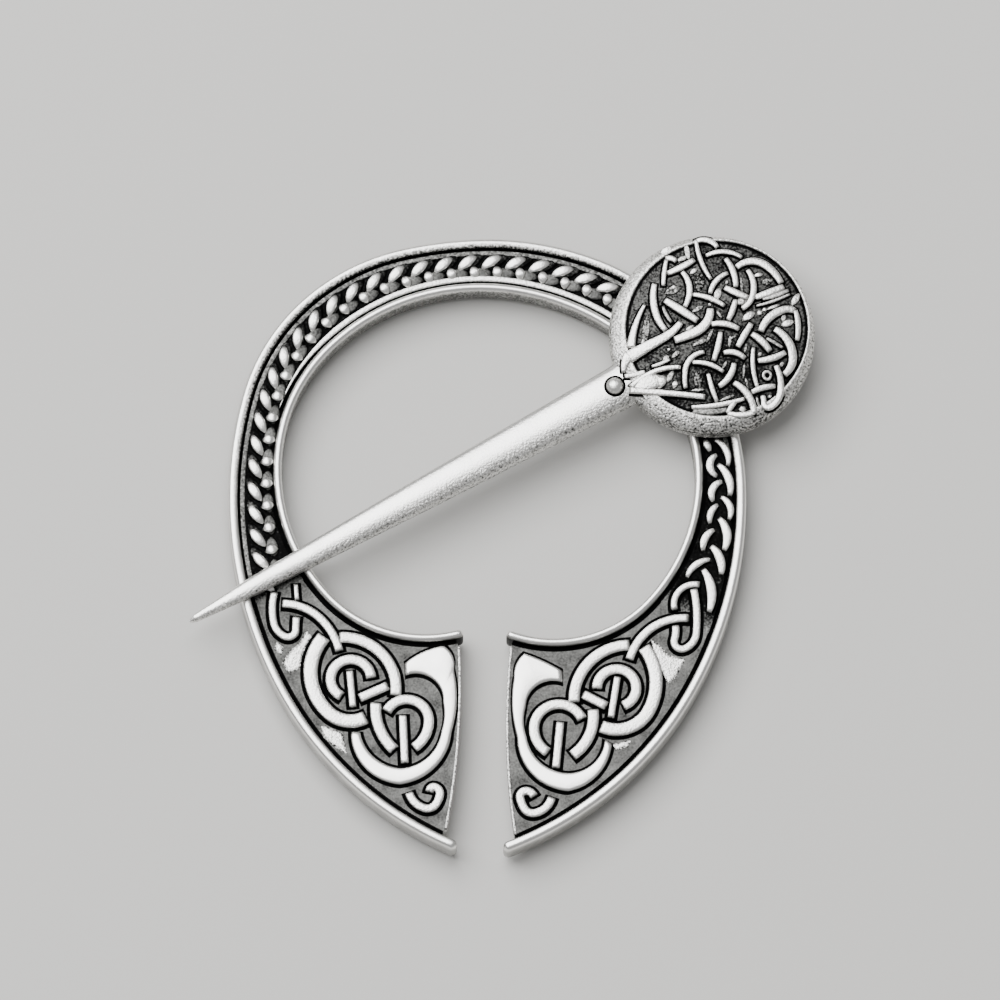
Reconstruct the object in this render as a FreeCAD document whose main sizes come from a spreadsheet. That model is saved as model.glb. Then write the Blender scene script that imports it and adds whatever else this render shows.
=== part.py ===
import FreeCAD, Part
import os
import Sketcher
from math import atan2, ceil, cos, degrees, hypot, pi, radians, sin, sqrt

# Cloak clasp: an open cast hoop with flared terminals, a loop that slides round
# the hoop, and a long pin with a round head that lifts on the loop.
# Origin on the hoop's axis, in the plane that the clasp rests on. +Y points away
# from the gap between the terminals. Millimetres.

doc = FreeCAD.newDocument("cloak_clasp")

# Driving sizes
SIZES = [
    ("strap_thick", 0.8, "thickness of the back loop's strap"),
    ("strap_width", 3.4, "width of the strap along the hoop"),
    ("strap_gap", 0.15, "gap between strap and hoop, front and back"),
    ("strap_inner", 7.3, "clear width of the strap across the hoop"),
    ("strap_round", 0.35, "rounding of the strap's long edges"),
    ("hoop_thick", 2.9, "hoop from its back to the top of its rims"),
    ("rim_wide_out", 1.0, "width of the outer rim"),
    ("rim_wide_in", 0.9, "width of the inner rim"),
    ("rim_round", 0.35, "rounding of the rims"),
    ("groove_wide", 0.4, "width of the groove beside each rim"),
    ("groove_deep", 0.8, "depth of the groove below the rims"),
    ("field_deep", 0.55, "depth of the sunk field below the rims"),
    ("relief_high", 0.45, "height of the raised strands above the field"),
    ("relief_root", 0.2, "depth that the strands reach into the field"),
    ("ridge_wide", 0.3, "width of the low ridge beside the groove"),
    ("ridge_high", 0.25, "height of that ridge above the field"),
    ("pin_gap", 0.15, "gap between the pin and the top of the hoop"),
    ("pin_turn", 29.4, "direction of the pin in plan, degrees from +X"),
    ("pin_reach", 59.9, "pin's point to the head's centre"),
    ("slide_radius", 23.7, "radius that the loop slides on"),
    ("slide_shift", 0.74, "centre of the slide above the hoop's origin"),
    ("loop_turn", 35.4, "place of the loop on the hoop, degrees from +X"),
    ("head_dia", 20.6, "diameter of the head"),
    ("head_edge", 1.7, "height of the head's edge"),
    ("head_bevel", 1.5, "width of the head's bevelled rim"),
    ("head_rise", 0.7, "height of the bevelled rim above the edge"),
    ("head_dome", 0.5, "rise of the head's face from rim to middle"),
    ("head_sink", 0.3, "depth of the head's face below its rim"),
    ("head_relief", 0.45, "height of the head's raised strands"),
    ("back_dia", 18.0, "diameter of the hollow in the head's back"),
    ("back_deep", 1.1, "depth of that hollow"),
    ("barrel_dia", 1.6, "diameter of the loop's hinge barrel"),
    ("barrel_out", 4.7, "hinge axis outside the slide radius"),
    ("hinge_up", 0.25, "hinge axis above the top of the hoop"),
    ("stub_dia", 0.8, "diameter of the barrel's stub ends"),
    ("stub_long", 0.9, "length of each stub end"),
    ("hinge_gap", 0.12, "running gap in the hinge"),
    ("ear_thick", 0.8, "thickness of each ear on the pin's back"),
    ("ear_dia", 1.9, "diameter of each ear"),
    ("neck_wide", 4.3, "shank width at the neck"),
    ("neck_thick", 2.1, "shank thickness at the neck"),
    ("point_wide", 0.7, "shank width just behind the point"),
    ("point_thick", 0.7, "shank thickness just behind the point"),
    ("boss_dia", 1.7, "diameter of the boss at the neck"),
    ("boss_ring", 2.7, "outer diameter of the groove round the boss"),
]
sheet = doc.addObject("Spreadsheet::Sheet", "sizes")
for row, (name, value, note) in enumerate(SIZES, start=1):
    sheet.set(f"A{row}", note)
    sheet.set(f"B{row}", str(value))
    sheet.setAlias(f"B{row}", name)
doc.recompute()


def size(name):
    return float(sheet.get(name))


# Heights worked out from the driving sizes
HOOP_BACK = size("strap_thick") + size("strap_gap")
HOOP_TOP = HOOP_BACK + size("hoop_thick")
FIELD = HOOP_TOP - size("field_deep")
PIN_BACK = HOOP_TOP + size("pin_gap")
HEAD_RADIUS = size("head_dia") / 2
HEAD_AT = (22.4, 16.2)
TINY = 1e-6

# Outer edge of the hoop, from the left terminal's lower tip over the crown to the
# right terminal's, and inner edge between the upper tips. The first three points
# set an arc, and every further point ends an arc tangent to the one before.
OUTER_EDGE = [
    (-3.5, -36.7), (-12.7, -30.9), (-20.9, -20.6), (-26.0, 0.7), (-24.6, 10.6),
    (-18.4, 20.7), (-8.6, 25.8), (-0.9, 26.8), (11.4, 24.6), (20.4, 17.4),
    (25.8, 1.1), (20.9, -20.1), (1.9, -36.9),
]
INNER_EDGE = [
    (-2.7, -13.8), (-6.2, -14.3), (-15.7, -10.1), (-20.2, 6.8), (-15.7, 15.1),
    (1.8, 21.2), (14.2, 15.8), (20.5, -0.6), (15.8, -10.7), (2.1, -13.9),
]

# Raised strands: name, width, then the centreline's points as for the edges
LEFT_STRANDS = [
    ("outer_ring", 1.5, [(-16.5, -14.8), (-17.7, -18.7), (-15.9, -22.5), (-12.4, -23.1)]),
    ("outer_ring_end", 1.2, [(-14.6, -14.7), (-10.9, -16.1), (-9.2, -20.5)]),
    ("inner_ring", 1.1, [(-14.8, -20.7), (-13.8, -17.0), (-11.7, -18.7)]),
    ("inner_tongue", 0.75, [(-13.8, -18.4), (-13.5, -21.7)]),
    ("cross_bar", 1.0, [(-12.6, -20.9), (-10.2, -19.8)]),
    ("link_strand", 1.2, [(-11.2, -21.7), (-10.8, -24.2), (-9.5, -26.2)]),
    ("lower_ring", 1.1, [(-10.0, -22.2), (-7.6, -21.2), (-5.9, -23.3), (-7.2, -26.0)]),
    ("lower_tongue", 0.85, [(-8.5, -23.0), (-8.3, -27.5)]),
    ("curl", 0.9, [(-7.8, -31.0), (-7.2, -31.9), (-6.3, -32.4), (-5.2, -32.0), (-4.8, -31.0),
                   (-5.3, -30.2), (-5.8, -30.5)]),
    ("arm_loop", 0.8, [(-21.4, -10.2), (-21.55, -11.6), (-21.4, -13.2), (-20.3, -14.6),
                       (-19.2, -13.9), (-19.15, -12.8)]),
    ("arm_cross", 0.9, [(-20.3, -11.2), (-18.5, -11.6), (-16.8, -12.7), (-14.9, -15.9)]),
    ("arm_short", 0.5, [(-19.2, -9.4), (-19.1, -10.6)]),
]
RIGHT_STRANDS = [
    ("outer_ring", 1.4, [(15.7, -15.9), (16.7, -18.4), (16.0, -22.4), (11.5, -24.0)]),
    ("outer_ring_end", 1.2, [(13.9, -15.5), (10.5, -16.9), (8.6, -21.2)]),
    ("inner_ring", 1.1, [(10.9, -19.8), (13.0, -18.0), (13.7, -21.7)]),
    ("inner_tongue", 0.75, [(12.9, -19.0), (12.3, -22.8)]),
    ("cross_bar", 1.0, [(9.7, -20.7), (11.6, -21.7)]),
    ("link_strand", 1.2, [(10.5, -22.4), (10.1, -24.9), (8.6, -26.8)]),
    ("lower_ring", 1.1, [(9.3, -23.0), (6.2, -21.8), (4.6, -24.0), (5.8, -26.5)]),
    ("lower_tongue", 0.85, [(7.2, -23.7), (6.8, -28.0)]),
    ("curl", 0.9, [(6.3, -31.5), (5.7, -32.4), (4.7, -32.9), (3.6, -32.4), (3.2, -31.3),
                   (3.8, -30.6), (4.5, -31.0)]),
    ("arm_loop", 0.8, [(20.6, -9.9), (20.85, -12.0), (20.8, -14.3), (19.7, -15.85),
                       (18.62, -14.9), (18.75, -13.7)]),
    ("arm_cross", 0.9, [(19.8, -12.7), (17.5, -13.1), (15.5, -14.5), (14.2, -16.8)]),
    ("arm_bend", 0.7, [(18.6, -11.6), (19.1, -9.9), (20.9, -9.2)]),
    ("chain_12", 0.7, [(21.5, -7.6), (22.1, -8.8), (22.1, -12.0)]),
    ("chain_11", 0.5, [(22.2, -6.6), (21.0, -7.0), (19.9, -8.4)]),
    ("chain_10", 0.65, [(22.3, -5.2), (23.1, -6.3), (23.3, -8.1)]),
    ("chain_9", 0.55, [(22.6, -3.5), (21.7, -4.4), (21.5, -5.6)]),
    ("chain_8", 0.65, [(23.1, -2.3), (23.8, -3.5), (23.6, -5.6)]),
    ("chain_7", 0.5, [(23.0, -0.9), (22.3, -1.7), (22.2, -2.8)]),
    ("chain_6", 0.5, [(23.3, -0.1), (24.0, -0.7), (24.1, -2.4)]),
    ("chain_5", 0.55, [(23.4, 1.5), (22.5, 0.8), (22.5, -0.5)]),
    ("chain_4", 0.6, [(23.0, 3.3), (24.0, 2.0), (24.2, 0.1)]),
    ("chain_3", 0.55, [(22.9, 4.3), (22.2, 3.4), (22.9, 2.1)]),
    ("chain_2", 0.5, [(22.7, 5.9), (23.7, 5.0), (24.0, 3.2)]),
    ("chain_1", 0.5, [(21.7, 5.9), (22.2, 4.7)]),
]
# Crescent with a horned upper end, as a closed run of arcs: corner, point on the arc, corner
LEFT_CRESCENT = [
    (-13.7, -24.5), (-12.4, -28.2), (-8.8, -30.0), (-5.4, -28.4), (-3.6, -24.5), (-3.1, -21.3),
    (-3.4, -18.0), (-3.7, -16.2), (-4.4, -15.5), (-6.4, -16.1), (-8.3, -17.3), (-8.7, -18.0),
    (-8.2, -18.7), (-5.8, -18.9), (-4.5, -21.5), (-4.4, -23.0), (-4.7, -24.5), (-6.2, -27.2),
    (-8.6, -28.2), (-11.4, -27.0), (-12.7, -24.5),
]
RIGHT_CRESCENT = [
    (12.4, -25.7), (11.2, -28.8), (8.0, -30.7), (4.6, -29.2), (2.9, -25.1), (2.4, -22.0),
    (2.6, -18.8), (2.9, -17.2), (3.6, -16.3), (5.6, -17.1), (7.4, -18.1), (7.9, -18.7),
    (7.4, -19.4), (5.2, -19.6), (3.8, -22.0), (3.6, -23.6), (3.9, -25.1), (5.4, -27.7),
    (7.9, -28.7), (10.4, -27.8), (11.6, -25.3),
]
# Strands of the head, from the head's centre, in the hoop's directions
HEAD_STRANDS = [
    ("fish_back", 0.6, [(-6.6, 2.8), (-7.8, 0.6), (-8.1, -1.7), (-8.6, -3.6)]),
    ("fish_belly", 0.8, [(-7.6, -2.2), (-6.0, -2.0), (-4.4, -0.8), (-3.2, 0.6)]),
    ("west_bow", 0.6, [(-6.0, 4.9), (-5.9, 3.0), (-5.0, 0.3)]),
    ("west_bar", 0.6, [(-4.6, 3.1), (-1.7, 1.0)]),
    ("west_sweep", 0.6, [(-3.6, -0.9), (-1.8, -0.1), (-0.6, 0.9), (-0.1, 2.3)]),
    ("north_west_bow", 0.6, [(-2.9, 6.1), (-2.3, 4.6), (-2.4, 2.7)]),
    ("north_west_bar", 0.6, [(-4.1, 6.0), (-1.8, 7.4)]),
    ("north_west_hook", 0.5, [(-4.9, 5.1), (-4.7, 7.5), (-3.4, 7.7)]),
    ("inner_west", 0.6, [(-1.8, 3.9), (-0.1, 3.5), (1.1, 2.7)]),
    ("north_spine", 0.6, [(-1.5, 8.9), (-1.2, 7.5), (-0.1, 5.4)]),
    ("north_bow", 0.6, [(-0.6, 7.9), (1.2, 8.4), (2.9, 7.9)]),
    ("north_leg", 0.6, [(1.4, 7.6), (2.1, 6.1), (2.4, 4.9)]),
    ("north_inner", 0.6, [(-0.1, 4.1), (0.6, 5.3), (1.7, 6.0)]),
    ("east_crown", 0.6, [(2.9, 6.9), (4.4, 7.4), (5.7, 6.7), (6.9, 5.1)]),
    ("east_bar", 0.6, [(7.6, 4.3), (4.5, 3.5)]),
    ("east_bow", 0.6, [(3.6, 6.4), (4.1, 5.1), (4.0, 3.3), (3.2, 2.2)]),
    ("inner_north", 0.6, [(1.4, 4.6), (3.4, 3.7)]),
    ("inner_leg", 0.6, [(2.2, 3.2), (1.7, 1.4)]),
    ("inner_east", 0.6, [(0.1, 0.9), (1.2, 0.8), (2.6, 0.3)]),
    ("south_east_crown", 0.6, [(5.0, 0.1), (5.9, 1.5), (7.7, 2.4)]),
    ("south_east_rim", 0.6, [(8.2, 2.0), (8.5, 1.2), (8.5, -0.7)]),
    ("south_east_bow", 0.6, [(6.4, 0.3), (7.7, -1.1), (8.1, -2.8), (7.4, -4.6)]),
    ("south_east_bar", 0.6, [(4.3, -0.7), (5.7, -2.0)]),
    ("centre_east", 0.6, [(2.6, -1.5), (3.8, 0.3)]),
    ("south_east_tie", 0.6, [(4.7, -3.0), (7.2, -2.3)]),
    ("south_east_leg", 0.6, [(4.1, -1.8), (4.0, -3.7), (4.4, -5.4)]),
    ("south_east_foot", 0.6, [(6.4, -3.6), (6.9, -5.4), (6.4, -7.0), (5.2, -7.6)]),
    ("south_east_sill", 0.6, [(4.2, -6.3), (6.1, -5.9)]),
    ("fish_two_back", 0.7, [(-7.3, -5.4), (-5.6, -4.1), (-3.6, -3.5)]),
    ("fish_two_belly", 0.7, [(-7.3, -6.1), (-4.9, -6.4), (-1.3, -6.9)]),
    ("south_west_bow", 0.6, [(-1.4, -2.2), (-2.3, -3.0), (-2.8, -4.2), (-2.6, -5.6)]),
    ("south_west_tie", 0.6, [(-1.7, -3.2), (-0.1, -3.4), (1.1, -4.1)]),
    ("south_bar", 0.6, [(-0.4, -4.6), (0.3, -6.6)]),
    ("south_bow", 0.6, [(2.2, -3.3), (1.7, -4.7), (0.8, -5.5)]),
    ("south_sweep", 0.6, [(2.2, -5.4), (3.4, -6.4), (4.0, -7.8)]),
    ("south_sill", 0.6, [(-1.6, -7.8), (0.9, -7.7), (2.7, -7.2)]),
    ("inner_south", 0.6, [(1.4, -2.3), (3.2, -2.7)]),
    ("centre_south", 0.6, [(0.8, -0.4), (0.3, -2.6)]),
]


# Outlines made of tangent arcs

def direction(start, end):
    return atan2(end[1] - start[1], end[0] - start[0])


def wrapped(angle):
    return (angle + pi) % (2 * pi) - pi


def arc_runs(points):
    """Arcs through the points, each run as start, heading, end and turn."""
    heading = direction(points[0], points[1])
    ends = list(points)
    if len(points) > 2:
        heading += wrapped(direction(points[0], points[2]) - direction(points[1], points[2]))
        ends = [points[0]] + list(points[2:])
    runs = []
    for start, end in zip(ends, ends[1:]):
        turn = 2 * wrapped(direction(start, end) - heading)
        runs.append((start, heading, end, turn))
        heading += turn
    return runs


def run_radius(run):
    start, heading, end, turn = run
    return hypot(end[0] - start[0], end[1] - start[1]) / (2 * sin(turn / 2))


def is_straight(run):
    return abs(run[3]) < 0.01


def beside(run, share, left):
    """Point at a share of the run's length, moved to the left of its heading."""
    start, heading, end, turn = run
    here = heading + turn * share
    if is_straight(run):
        x = start[0] + (end[0] - start[0]) * share
        y = start[1] + (end[1] - start[1]) * share
    else:
        radius = run_radius(run)
        x = start[0] + radius * (sin(here) - sin(heading))
        y = start[1] - radius * (cos(here) - cos(heading))
    return FreeCAD.Vector(x - left * sin(here), y + left * cos(here), 0)


def edge_through(first, middle, last, straight):
    if straight:
        return Part.LineSegment(first, last).toShape()
    return Part.Arc(first, middle, last).toShape()


def side_edges(runs, left):
    return [
        edge_through(beside(run, 0, left), beside(run, 0.5, left), beside(run, 1, left), is_straight(run))
        for run in runs
    ]


def face_of(edges):
    return Part.Face(Part.Wire(Part.__sortEdges__(edges)))


def band_face(runs, left, right, round_ends=False):
    """Flat band between two lines beside the same runs."""
    first, last = runs[0], runs[-1]
    middle, half = (left + right) / 2, (left - right) / 2
    end_heading = last[1] + last[3]
    start_tip = beside(first, 0, middle) - FreeCAD.Vector(cos(first[1]), sin(first[1]), 0) * half
    end_tip = beside(last, 1, middle) + FreeCAD.Vector(cos(end_heading), sin(end_heading), 0) * half
    straight = not round_ends
    ends = [
        edge_through(beside(first, 0, left), start_tip, beside(first, 0, right), straight),
        edge_through(beside(last, 1, left), end_tip, beside(last, 1, right), straight),
    ]
    return face_of(side_edges(runs, left) + side_edges(runs, right) + ends)


def strand_faces(strands):
    return [band_face(arc_runs(points), width / 2, -width / 2) for name, width, points in strands]


def closed_face(points):
    """Face inside a closed run of arcs: corner, point on the arc, corner and so on."""
    corners = [FreeCAD.Vector(x, y, 0) for x, y in points]
    if len(corners) % 2 == 0:
        corners.append(corners[0])
    edges = [
        Part.Arc(corners[i], corners[i + 1], corners[i + 2]).toShape()
        for i in range(0, len(corners) - 2, 2)
    ]
    if (corners[-1] - corners[0]).Length > TINY:
        edges.append(Part.LineSegment(corners[-1], corners[0]).toShape())
    return face_of(edges)


def leaf_face(at, turn, long, wide):
    """Leaf between two arcs, pointed at both ends."""
    ahead = FreeCAD.Vector(cos(turn), sin(turn), 0) * (long / 2)
    across = FreeCAD.Vector(-sin(turn), cos(turn), 0) * (wide / 2)
    return face_of([
        Part.Arc(at - ahead, at + across, at + ahead).toShape(),
        Part.Arc(at + ahead, at - across, at - ahead).toShape(),
    ])


def steps_beside(runs, left, start, pitch, count):
    """Evenly spaced places on the line beside the runs, with the heading at each."""
    lengths = [abs(run_radius(run) - left) * abs(run[3]) for run in runs]
    places = []
    for i in range(count):
        distance = start + i * pitch
        index = 0
        while distance > lengths[index]:
            distance -= lengths[index]
            index += 1
        share = distance / lengths[index]
        places.append((beside(runs[index], share, left), runs[index][1] + runs[index][3] * share))
    return places


# Document objects from the outlines

def set_shape(name, shape):
    thing = doc.addObject("Part::Feature", name)
    thing.Shape = shape
    return thing


def raised(name, shapes, height, base):
    """Outlines pulled straight up, with height and base as formulas of the sheet."""
    outline = set_shape(name + "_outline", Part.Compound(shapes))
    thing = doc.addObject("Part::Extrusion", name)
    thing.Base = outline
    thing.DirMode = "Custom"
    thing.Dir = FreeCAD.Vector(0, 0, 1)
    thing.Solid = True
    thing.setExpression("LengthFwd", height)
    thing.setExpression("Placement.Base.z", base)
    return thing


def joined(name, things):
    thing = doc.addObject("Part::MultiFuse", name)
    thing.Shapes = things
    return thing


def cut_from(name, base, tool):
    thing = doc.addObject("Part::Cut", name)
    thing.Base = base
    thing.Tool = tool
    return thing


def rounded_top(name, base, radius_name):
    """Rounds every edge that lies in the top plane of the base."""
    doc.recompute()
    top = base.Shape.BoundBox.ZMax
    thing = doc.addObject("Part::Fillet", name)
    thing.Base = base
    thing.Edges = [
        (number, size(radius_name), size(radius_name))
        for number, edge in enumerate(base.Shape.Edges, start=1)
        if abs(edge.BoundBox.ZMin - top) < TINY
    ]
    return thing


# Formulas for heights
HOOP_BACK_F = "sizes.strap_thick + sizes.strap_gap"
HOOP_TOP_F = f"({HOOP_BACK_F} + sizes.hoop_thick)"
FIELD_F = f"({HOOP_TOP_F} - sizes.field_deep)"
PIN_BACK_F = f"({HOOP_TOP_F} + sizes.pin_gap)"
HINGE_HIGH_F = f"({HOOP_TOP_F} + sizes.hinge_up)"

outer_runs = arc_runs(OUTER_EDGE)
inner_runs = arc_runs(INNER_EDGE)

# Ends of the terminals, bowed: upper corner, point on the bow, lower corner
LEFT_END = [(-2.9, -14.0), (-2.9, -25.3), (-4.4, -36.0)]
RIGHT_END = [(2.4, -14.0), (1.8, -25.0), (2.8, -36.2)]
# The gap's tool runs past both ends of those bows
GAP_PAST = 4.0

# Plait: outer row of leaves and inner row of beads
PLAIT_COUNT = 26
LEAF_PITCH = 2.42
LEAF_DEPTH = 2.3
BEAD_DEPTH = 3.6
LEAF_START = 35.5
BEAD_START = 35.5
BEAD_PITCH = 2.28
LEAF_LONG, LEAF_WIDE, LEAF_TILT = 2.2, 0.85, radians(38)
BEAD_LONG, BEAD_WIDE, BEAD_TILT = 1.15, 0.85, radians(110)


def plait_faces():
    leaves = steps_beside(outer_runs, -LEAF_DEPTH, LEAF_START, LEAF_PITCH, PLAIT_COUNT)
    beads = steps_beside(outer_runs, -BEAD_DEPTH, BEAD_START, BEAD_PITCH, PLAIT_COUNT)
    return [leaf_face(at, heading + LEAF_TILT, LEAF_LONG, LEAF_WIDE) for at, heading in leaves] + [
        leaf_face(at, heading + BEAD_TILT, BEAD_LONG, BEAD_WIDE) for at, heading in beads
    ]


def gap_face():
    corners = [FreeCAD.Vector(x, y, 0) for x, y in LEFT_END + RIGHT_END]
    left_top, left_bow, left_low, right_top, right_bow, right_low = corners
    past = FreeCAD.Vector(0, GAP_PAST, 0)
    return face_of([
        Part.Arc(left_top, left_bow, left_low).toShape(),
        Part.LineSegment(left_low, left_low - past).toShape(),
        Part.LineSegment(left_low - past, right_low - past).toShape(),
        Part.LineSegment(right_low - past, right_low).toShape(),
        Part.Arc(right_low, right_bow, right_top).toShape(),
        Part.LineSegment(right_top, right_top + past).toShape(),
        Part.LineSegment(right_top + past, left_top + past).toShape(),
        Part.LineSegment(left_top + past, left_top).toShape(),
    ])


def make_hoop():
    rim_out, rim_in, groove = size("rim_wide_out"), size("rim_wide_in"), size("groove_wide")
    plate_face = face_of(
        side_edges(outer_runs, -rim_out / 2)
        + side_edges(inner_runs, rim_in / 2)
        + [
            Part.LineSegment(beside(outer_runs[0], 0, -rim_out / 2), beside(inner_runs[0], 0, rim_in / 2)).toShape(),
            Part.LineSegment(beside(outer_runs[-1], 1, -rim_out / 2), beside(inner_runs[-1], 1, rim_in / 2)).toShape(),
        ]
    )
    plate = raised("plate", [plate_face], "sizes.hoop_thick - sizes.field_deep", HOOP_BACK_F)
    gap = raised("gap_tool", [gap_face()], "sizes.hoop_thick", HOOP_BACK_F)
    open_plate = cut_from("open_plate", plate, gap)
    grooves = raised(
        "groove_tool",
        [
            band_face(outer_runs, -rim_out, -rim_out - groove),
            band_face(inner_runs, rim_in + groove, rim_in),
        ],
        "sizes.groove_deep",
        f"{HOOP_TOP_F} - sizes.groove_deep",
    )
    grooved_plate = cut_from("grooved_plate", open_plate, grooves)
    rims = [
        rounded_top(name + "_rounded", raised(name, [face], "sizes.hoop_thick", HOOP_BACK_F), "rim_round")
        for name, face in (
            ("outer_rim", band_face(outer_runs, 0, -rim_out, round_ends=True)),
            ("inner_rim", band_face(inner_runs, rim_in, 0, round_ends=True)),
        )
    ]
    ridge = size("ridge_wide")
    ridges = raised(
        "ridges",
        [
            band_face(outer_runs[2:9], -rim_out - groove, -rim_out - groove - ridge),
            band_face(inner_runs[2:6], rim_in + groove + ridge, rim_in + groove),
        ],
        "sizes.ridge_high + sizes.relief_root",
        f"{FIELD_F} - sizes.relief_root",
    )
    relief = raised(
        "relief",
        strand_faces(LEFT_STRANDS) + strand_faces(RIGHT_STRANDS) + plait_faces()
        + [closed_face(LEFT_CRESCENT), closed_face(RIGHT_CRESCENT)],
        "sizes.relief_high + sizes.relief_root",
        f"{FIELD_F} - sizes.relief_root",
    )
    return joined("hoop", [grooved_plate] + rims + [ridges, relief])


# Loop that grips the hoop: X outward from the slide's centre, Y along the hoop

def origin_plane(body, role):
    return [plane for plane in body.Origin.OriginFeatures if plane.Role == role][0]


def new_sketch(body, name):
    sketch = body.newObject("Sketcher::SketchObject", name)
    sketch.AttachmentSupport = [(origin_plane(body, "XZ_Plane"), "")]
    sketch.MapMode = "FlatFace"
    return sketch


def add_rectangle(sketch, name, left, right, low, high):
    """Rectangle whose four sides are held at named distances from the origin."""
    V = FreeCAD.Vector
    corners = [V(left[0], low[0], 0), V(right[0], low[0], 0), V(right[0], high[0], 0), V(left[0], high[0], 0)]
    lines = [
        sketch.addGeometry(Part.LineSegment(corners[i], corners[(i + 1) % 4]), False)
        for i in range(4)
    ]
    for i in range(4):
        sketch.addConstraint(Sketcher.Constraint("Coincident", lines[i], 2, lines[(i + 1) % 4], 1))
        sketch.addConstraint(Sketcher.Constraint("Horizontal" if i % 2 == 0 else "Vertical", lines[i]))
    for kind, corner, label, (value, formula) in (
        ("DistanceX", lines[0], "left", left),
        ("DistanceX", lines[2], "right", right),
        ("DistanceY", lines[0], "low", low),
        ("DistanceY", lines[2], "high", high),
    ):
        if not formula:
            sketch.addConstraint(Sketcher.Constraint("PointOnObject", corner, 1, -1))
            continue
        held = sketch.addConstraint(Sketcher.Constraint(kind, -1, 1, corner, 1, value))
        sketch.renameConstraint(held, f"{name}_{label}")
        sketch.setExpression(f"Constraints.{name}_{label}", formula)


def add_circle(sketch, name, across, up, radius):
    circle = sketch.addGeometry(Part.Circle(FreeCAD.Vector(across[0], up[0], 0), FreeCAD.Vector(0, 0, 1), radius[0]), False)
    for kind, args, label, formula in (
        ("DistanceX", (-1, 1, circle, 3, across[0]), "across", across[1]),
        ("DistanceY", (-1, 1, circle, 3, up[0]), "up", up[1]),
        ("Radius", (circle, radius[0]), "radius", radius[1]),
    ):
        held = sketch.addConstraint(Sketcher.Constraint(kind, *args))
        sketch.renameConstraint(held, f"{name}_{label}")
        sketch.setExpression(f"Constraints.{name}_{label}", formula)


def padded(body, name, sketch, length_formula):
    pad = body.newObject("PartDesign::Pad", name)
    pad.Profile = sketch
    pad.SideType = "Symmetric"
    pad.setExpression("Length", length_formula)
    return pad


LOOP_SPOT = FreeCAD.Placement(
    FreeCAD.Vector(0, size("slide_shift"), 0),
    FreeCAD.Rotation(FreeCAD.Vector(0, 0, 1), size("loop_turn")),
)
HINGE_OUT = size("slide_radius") + size("barrel_out")
HINGE_HIGH = HOOP_TOP + size("hinge_up")


def make_loop():
    body = doc.addObject("PartDesign::Body", "back_loop")
    near = size("slide_radius") - size("strap_inner") / 2
    far = size("slide_radius") + size("strap_inner") / 2
    thick = size("strap_thick")
    top = HOOP_TOP + size("strap_gap")
    near_f = "sizes.slide_radius - sizes.strap_inner / 2"
    far_f = "sizes.slide_radius + sizes.strap_inner / 2"
    top_f = f"{HOOP_TOP_F} + sizes.strap_gap"

    strap_sketch = new_sketch(body, "strap_sketch")
    add_rectangle(
        strap_sketch, "outside",
        (near - thick, f"{near_f} - sizes.strap_thick"), (far + thick, f"{far_f} + sizes.strap_thick"),
        (0, None), (top + thick, f"{top_f} + sizes.strap_thick"),
    )
    add_rectangle(
        strap_sketch, "inside",
        (near, near_f), (far, far_f), (thick, "sizes.strap_thick"), (top, top_f),
    )
    strap = padded(body, "strap", strap_sketch, "sizes.strap_width")
    doc.recompute()
    corners = [
        f"Edge{number}" for number, edge in enumerate(strap.Shape.Edges, start=1)
        if edge.BoundBox.YLength > size("strap_width") - TINY
        and min(abs(edge.BoundBox.XMin - near + thick), abs(edge.BoundBox.XMin - far - thick)) < TINY
    ]
    rounding = body.newObject("PartDesign::Fillet", "strap_rounding")
    rounding.Base = (strap, corners)
    rounding.setExpression("Radius", "sizes.strap_round")

    for name, radius, length, radius_f, length_f in (
        ("barrel", size("barrel_dia") / 2, size("strap_width"), "sizes.barrel_dia / 2", "sizes.strap_width"),
        ("stubs", size("stub_dia") / 2, size("strap_width") + 2 * size("stub_long"),
         "sizes.stub_dia / 2", "sizes.strap_width + 2 * sizes.stub_long"),
    ):
        sketch = new_sketch(body, name + "_sketch")
        add_circle(
            sketch, name, (HINGE_OUT, "sizes.slide_radius + sizes.barrel_out"),
            (HINGE_HIGH, HINGE_HIGH_F), (radius, radius_f),
        )
        padded(body, name, sketch, length_f)
    body.Placement = LOOP_SPOT
    return body


# Pin: X from the head's centre to the point, Z up
PIN_SPOT = FreeCAD.Placement(
    FreeCAD.Vector(HEAD_AT[0], HEAD_AT[1], 0),
    FreeCAD.Rotation(FreeCAD.Vector(0, 0, 1), size("pin_turn") + degrees(pi)),
)
# Shank sections: share of the way from neck to point, share of the fall in width, in thickness
SHANK_SECTIONS = [(0.0, 0.0, 0.0), (0.46, 0.3, 0.3), (0.86, 0.7, 0.65), (1.0, 1.0, 1.0)]
# Share of the section's height that its upright sides take
SIDE_SHARE = 0.5


def shank_section(name, x, wide, thick):
    """Flat back, short upright sides and an arched top."""
    V = FreeCAD.Vector
    half, side = wide / 2, thick * SIDE_SHARE
    left_low, left_high = V(x, -half, 0), V(x, -half, side)
    right_low, right_high = V(x, half, 0), V(x, half, side)
    return set_shape(name, Part.Wire([
        Part.LineSegment(left_low, right_low).toShape(),
        Part.LineSegment(right_low, right_high).toShape(),
        Part.Arc(right_high, V(x, 0, thick), left_high).toShape(),
        Part.LineSegment(left_high, left_low).toShape(),
    ]))


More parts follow.
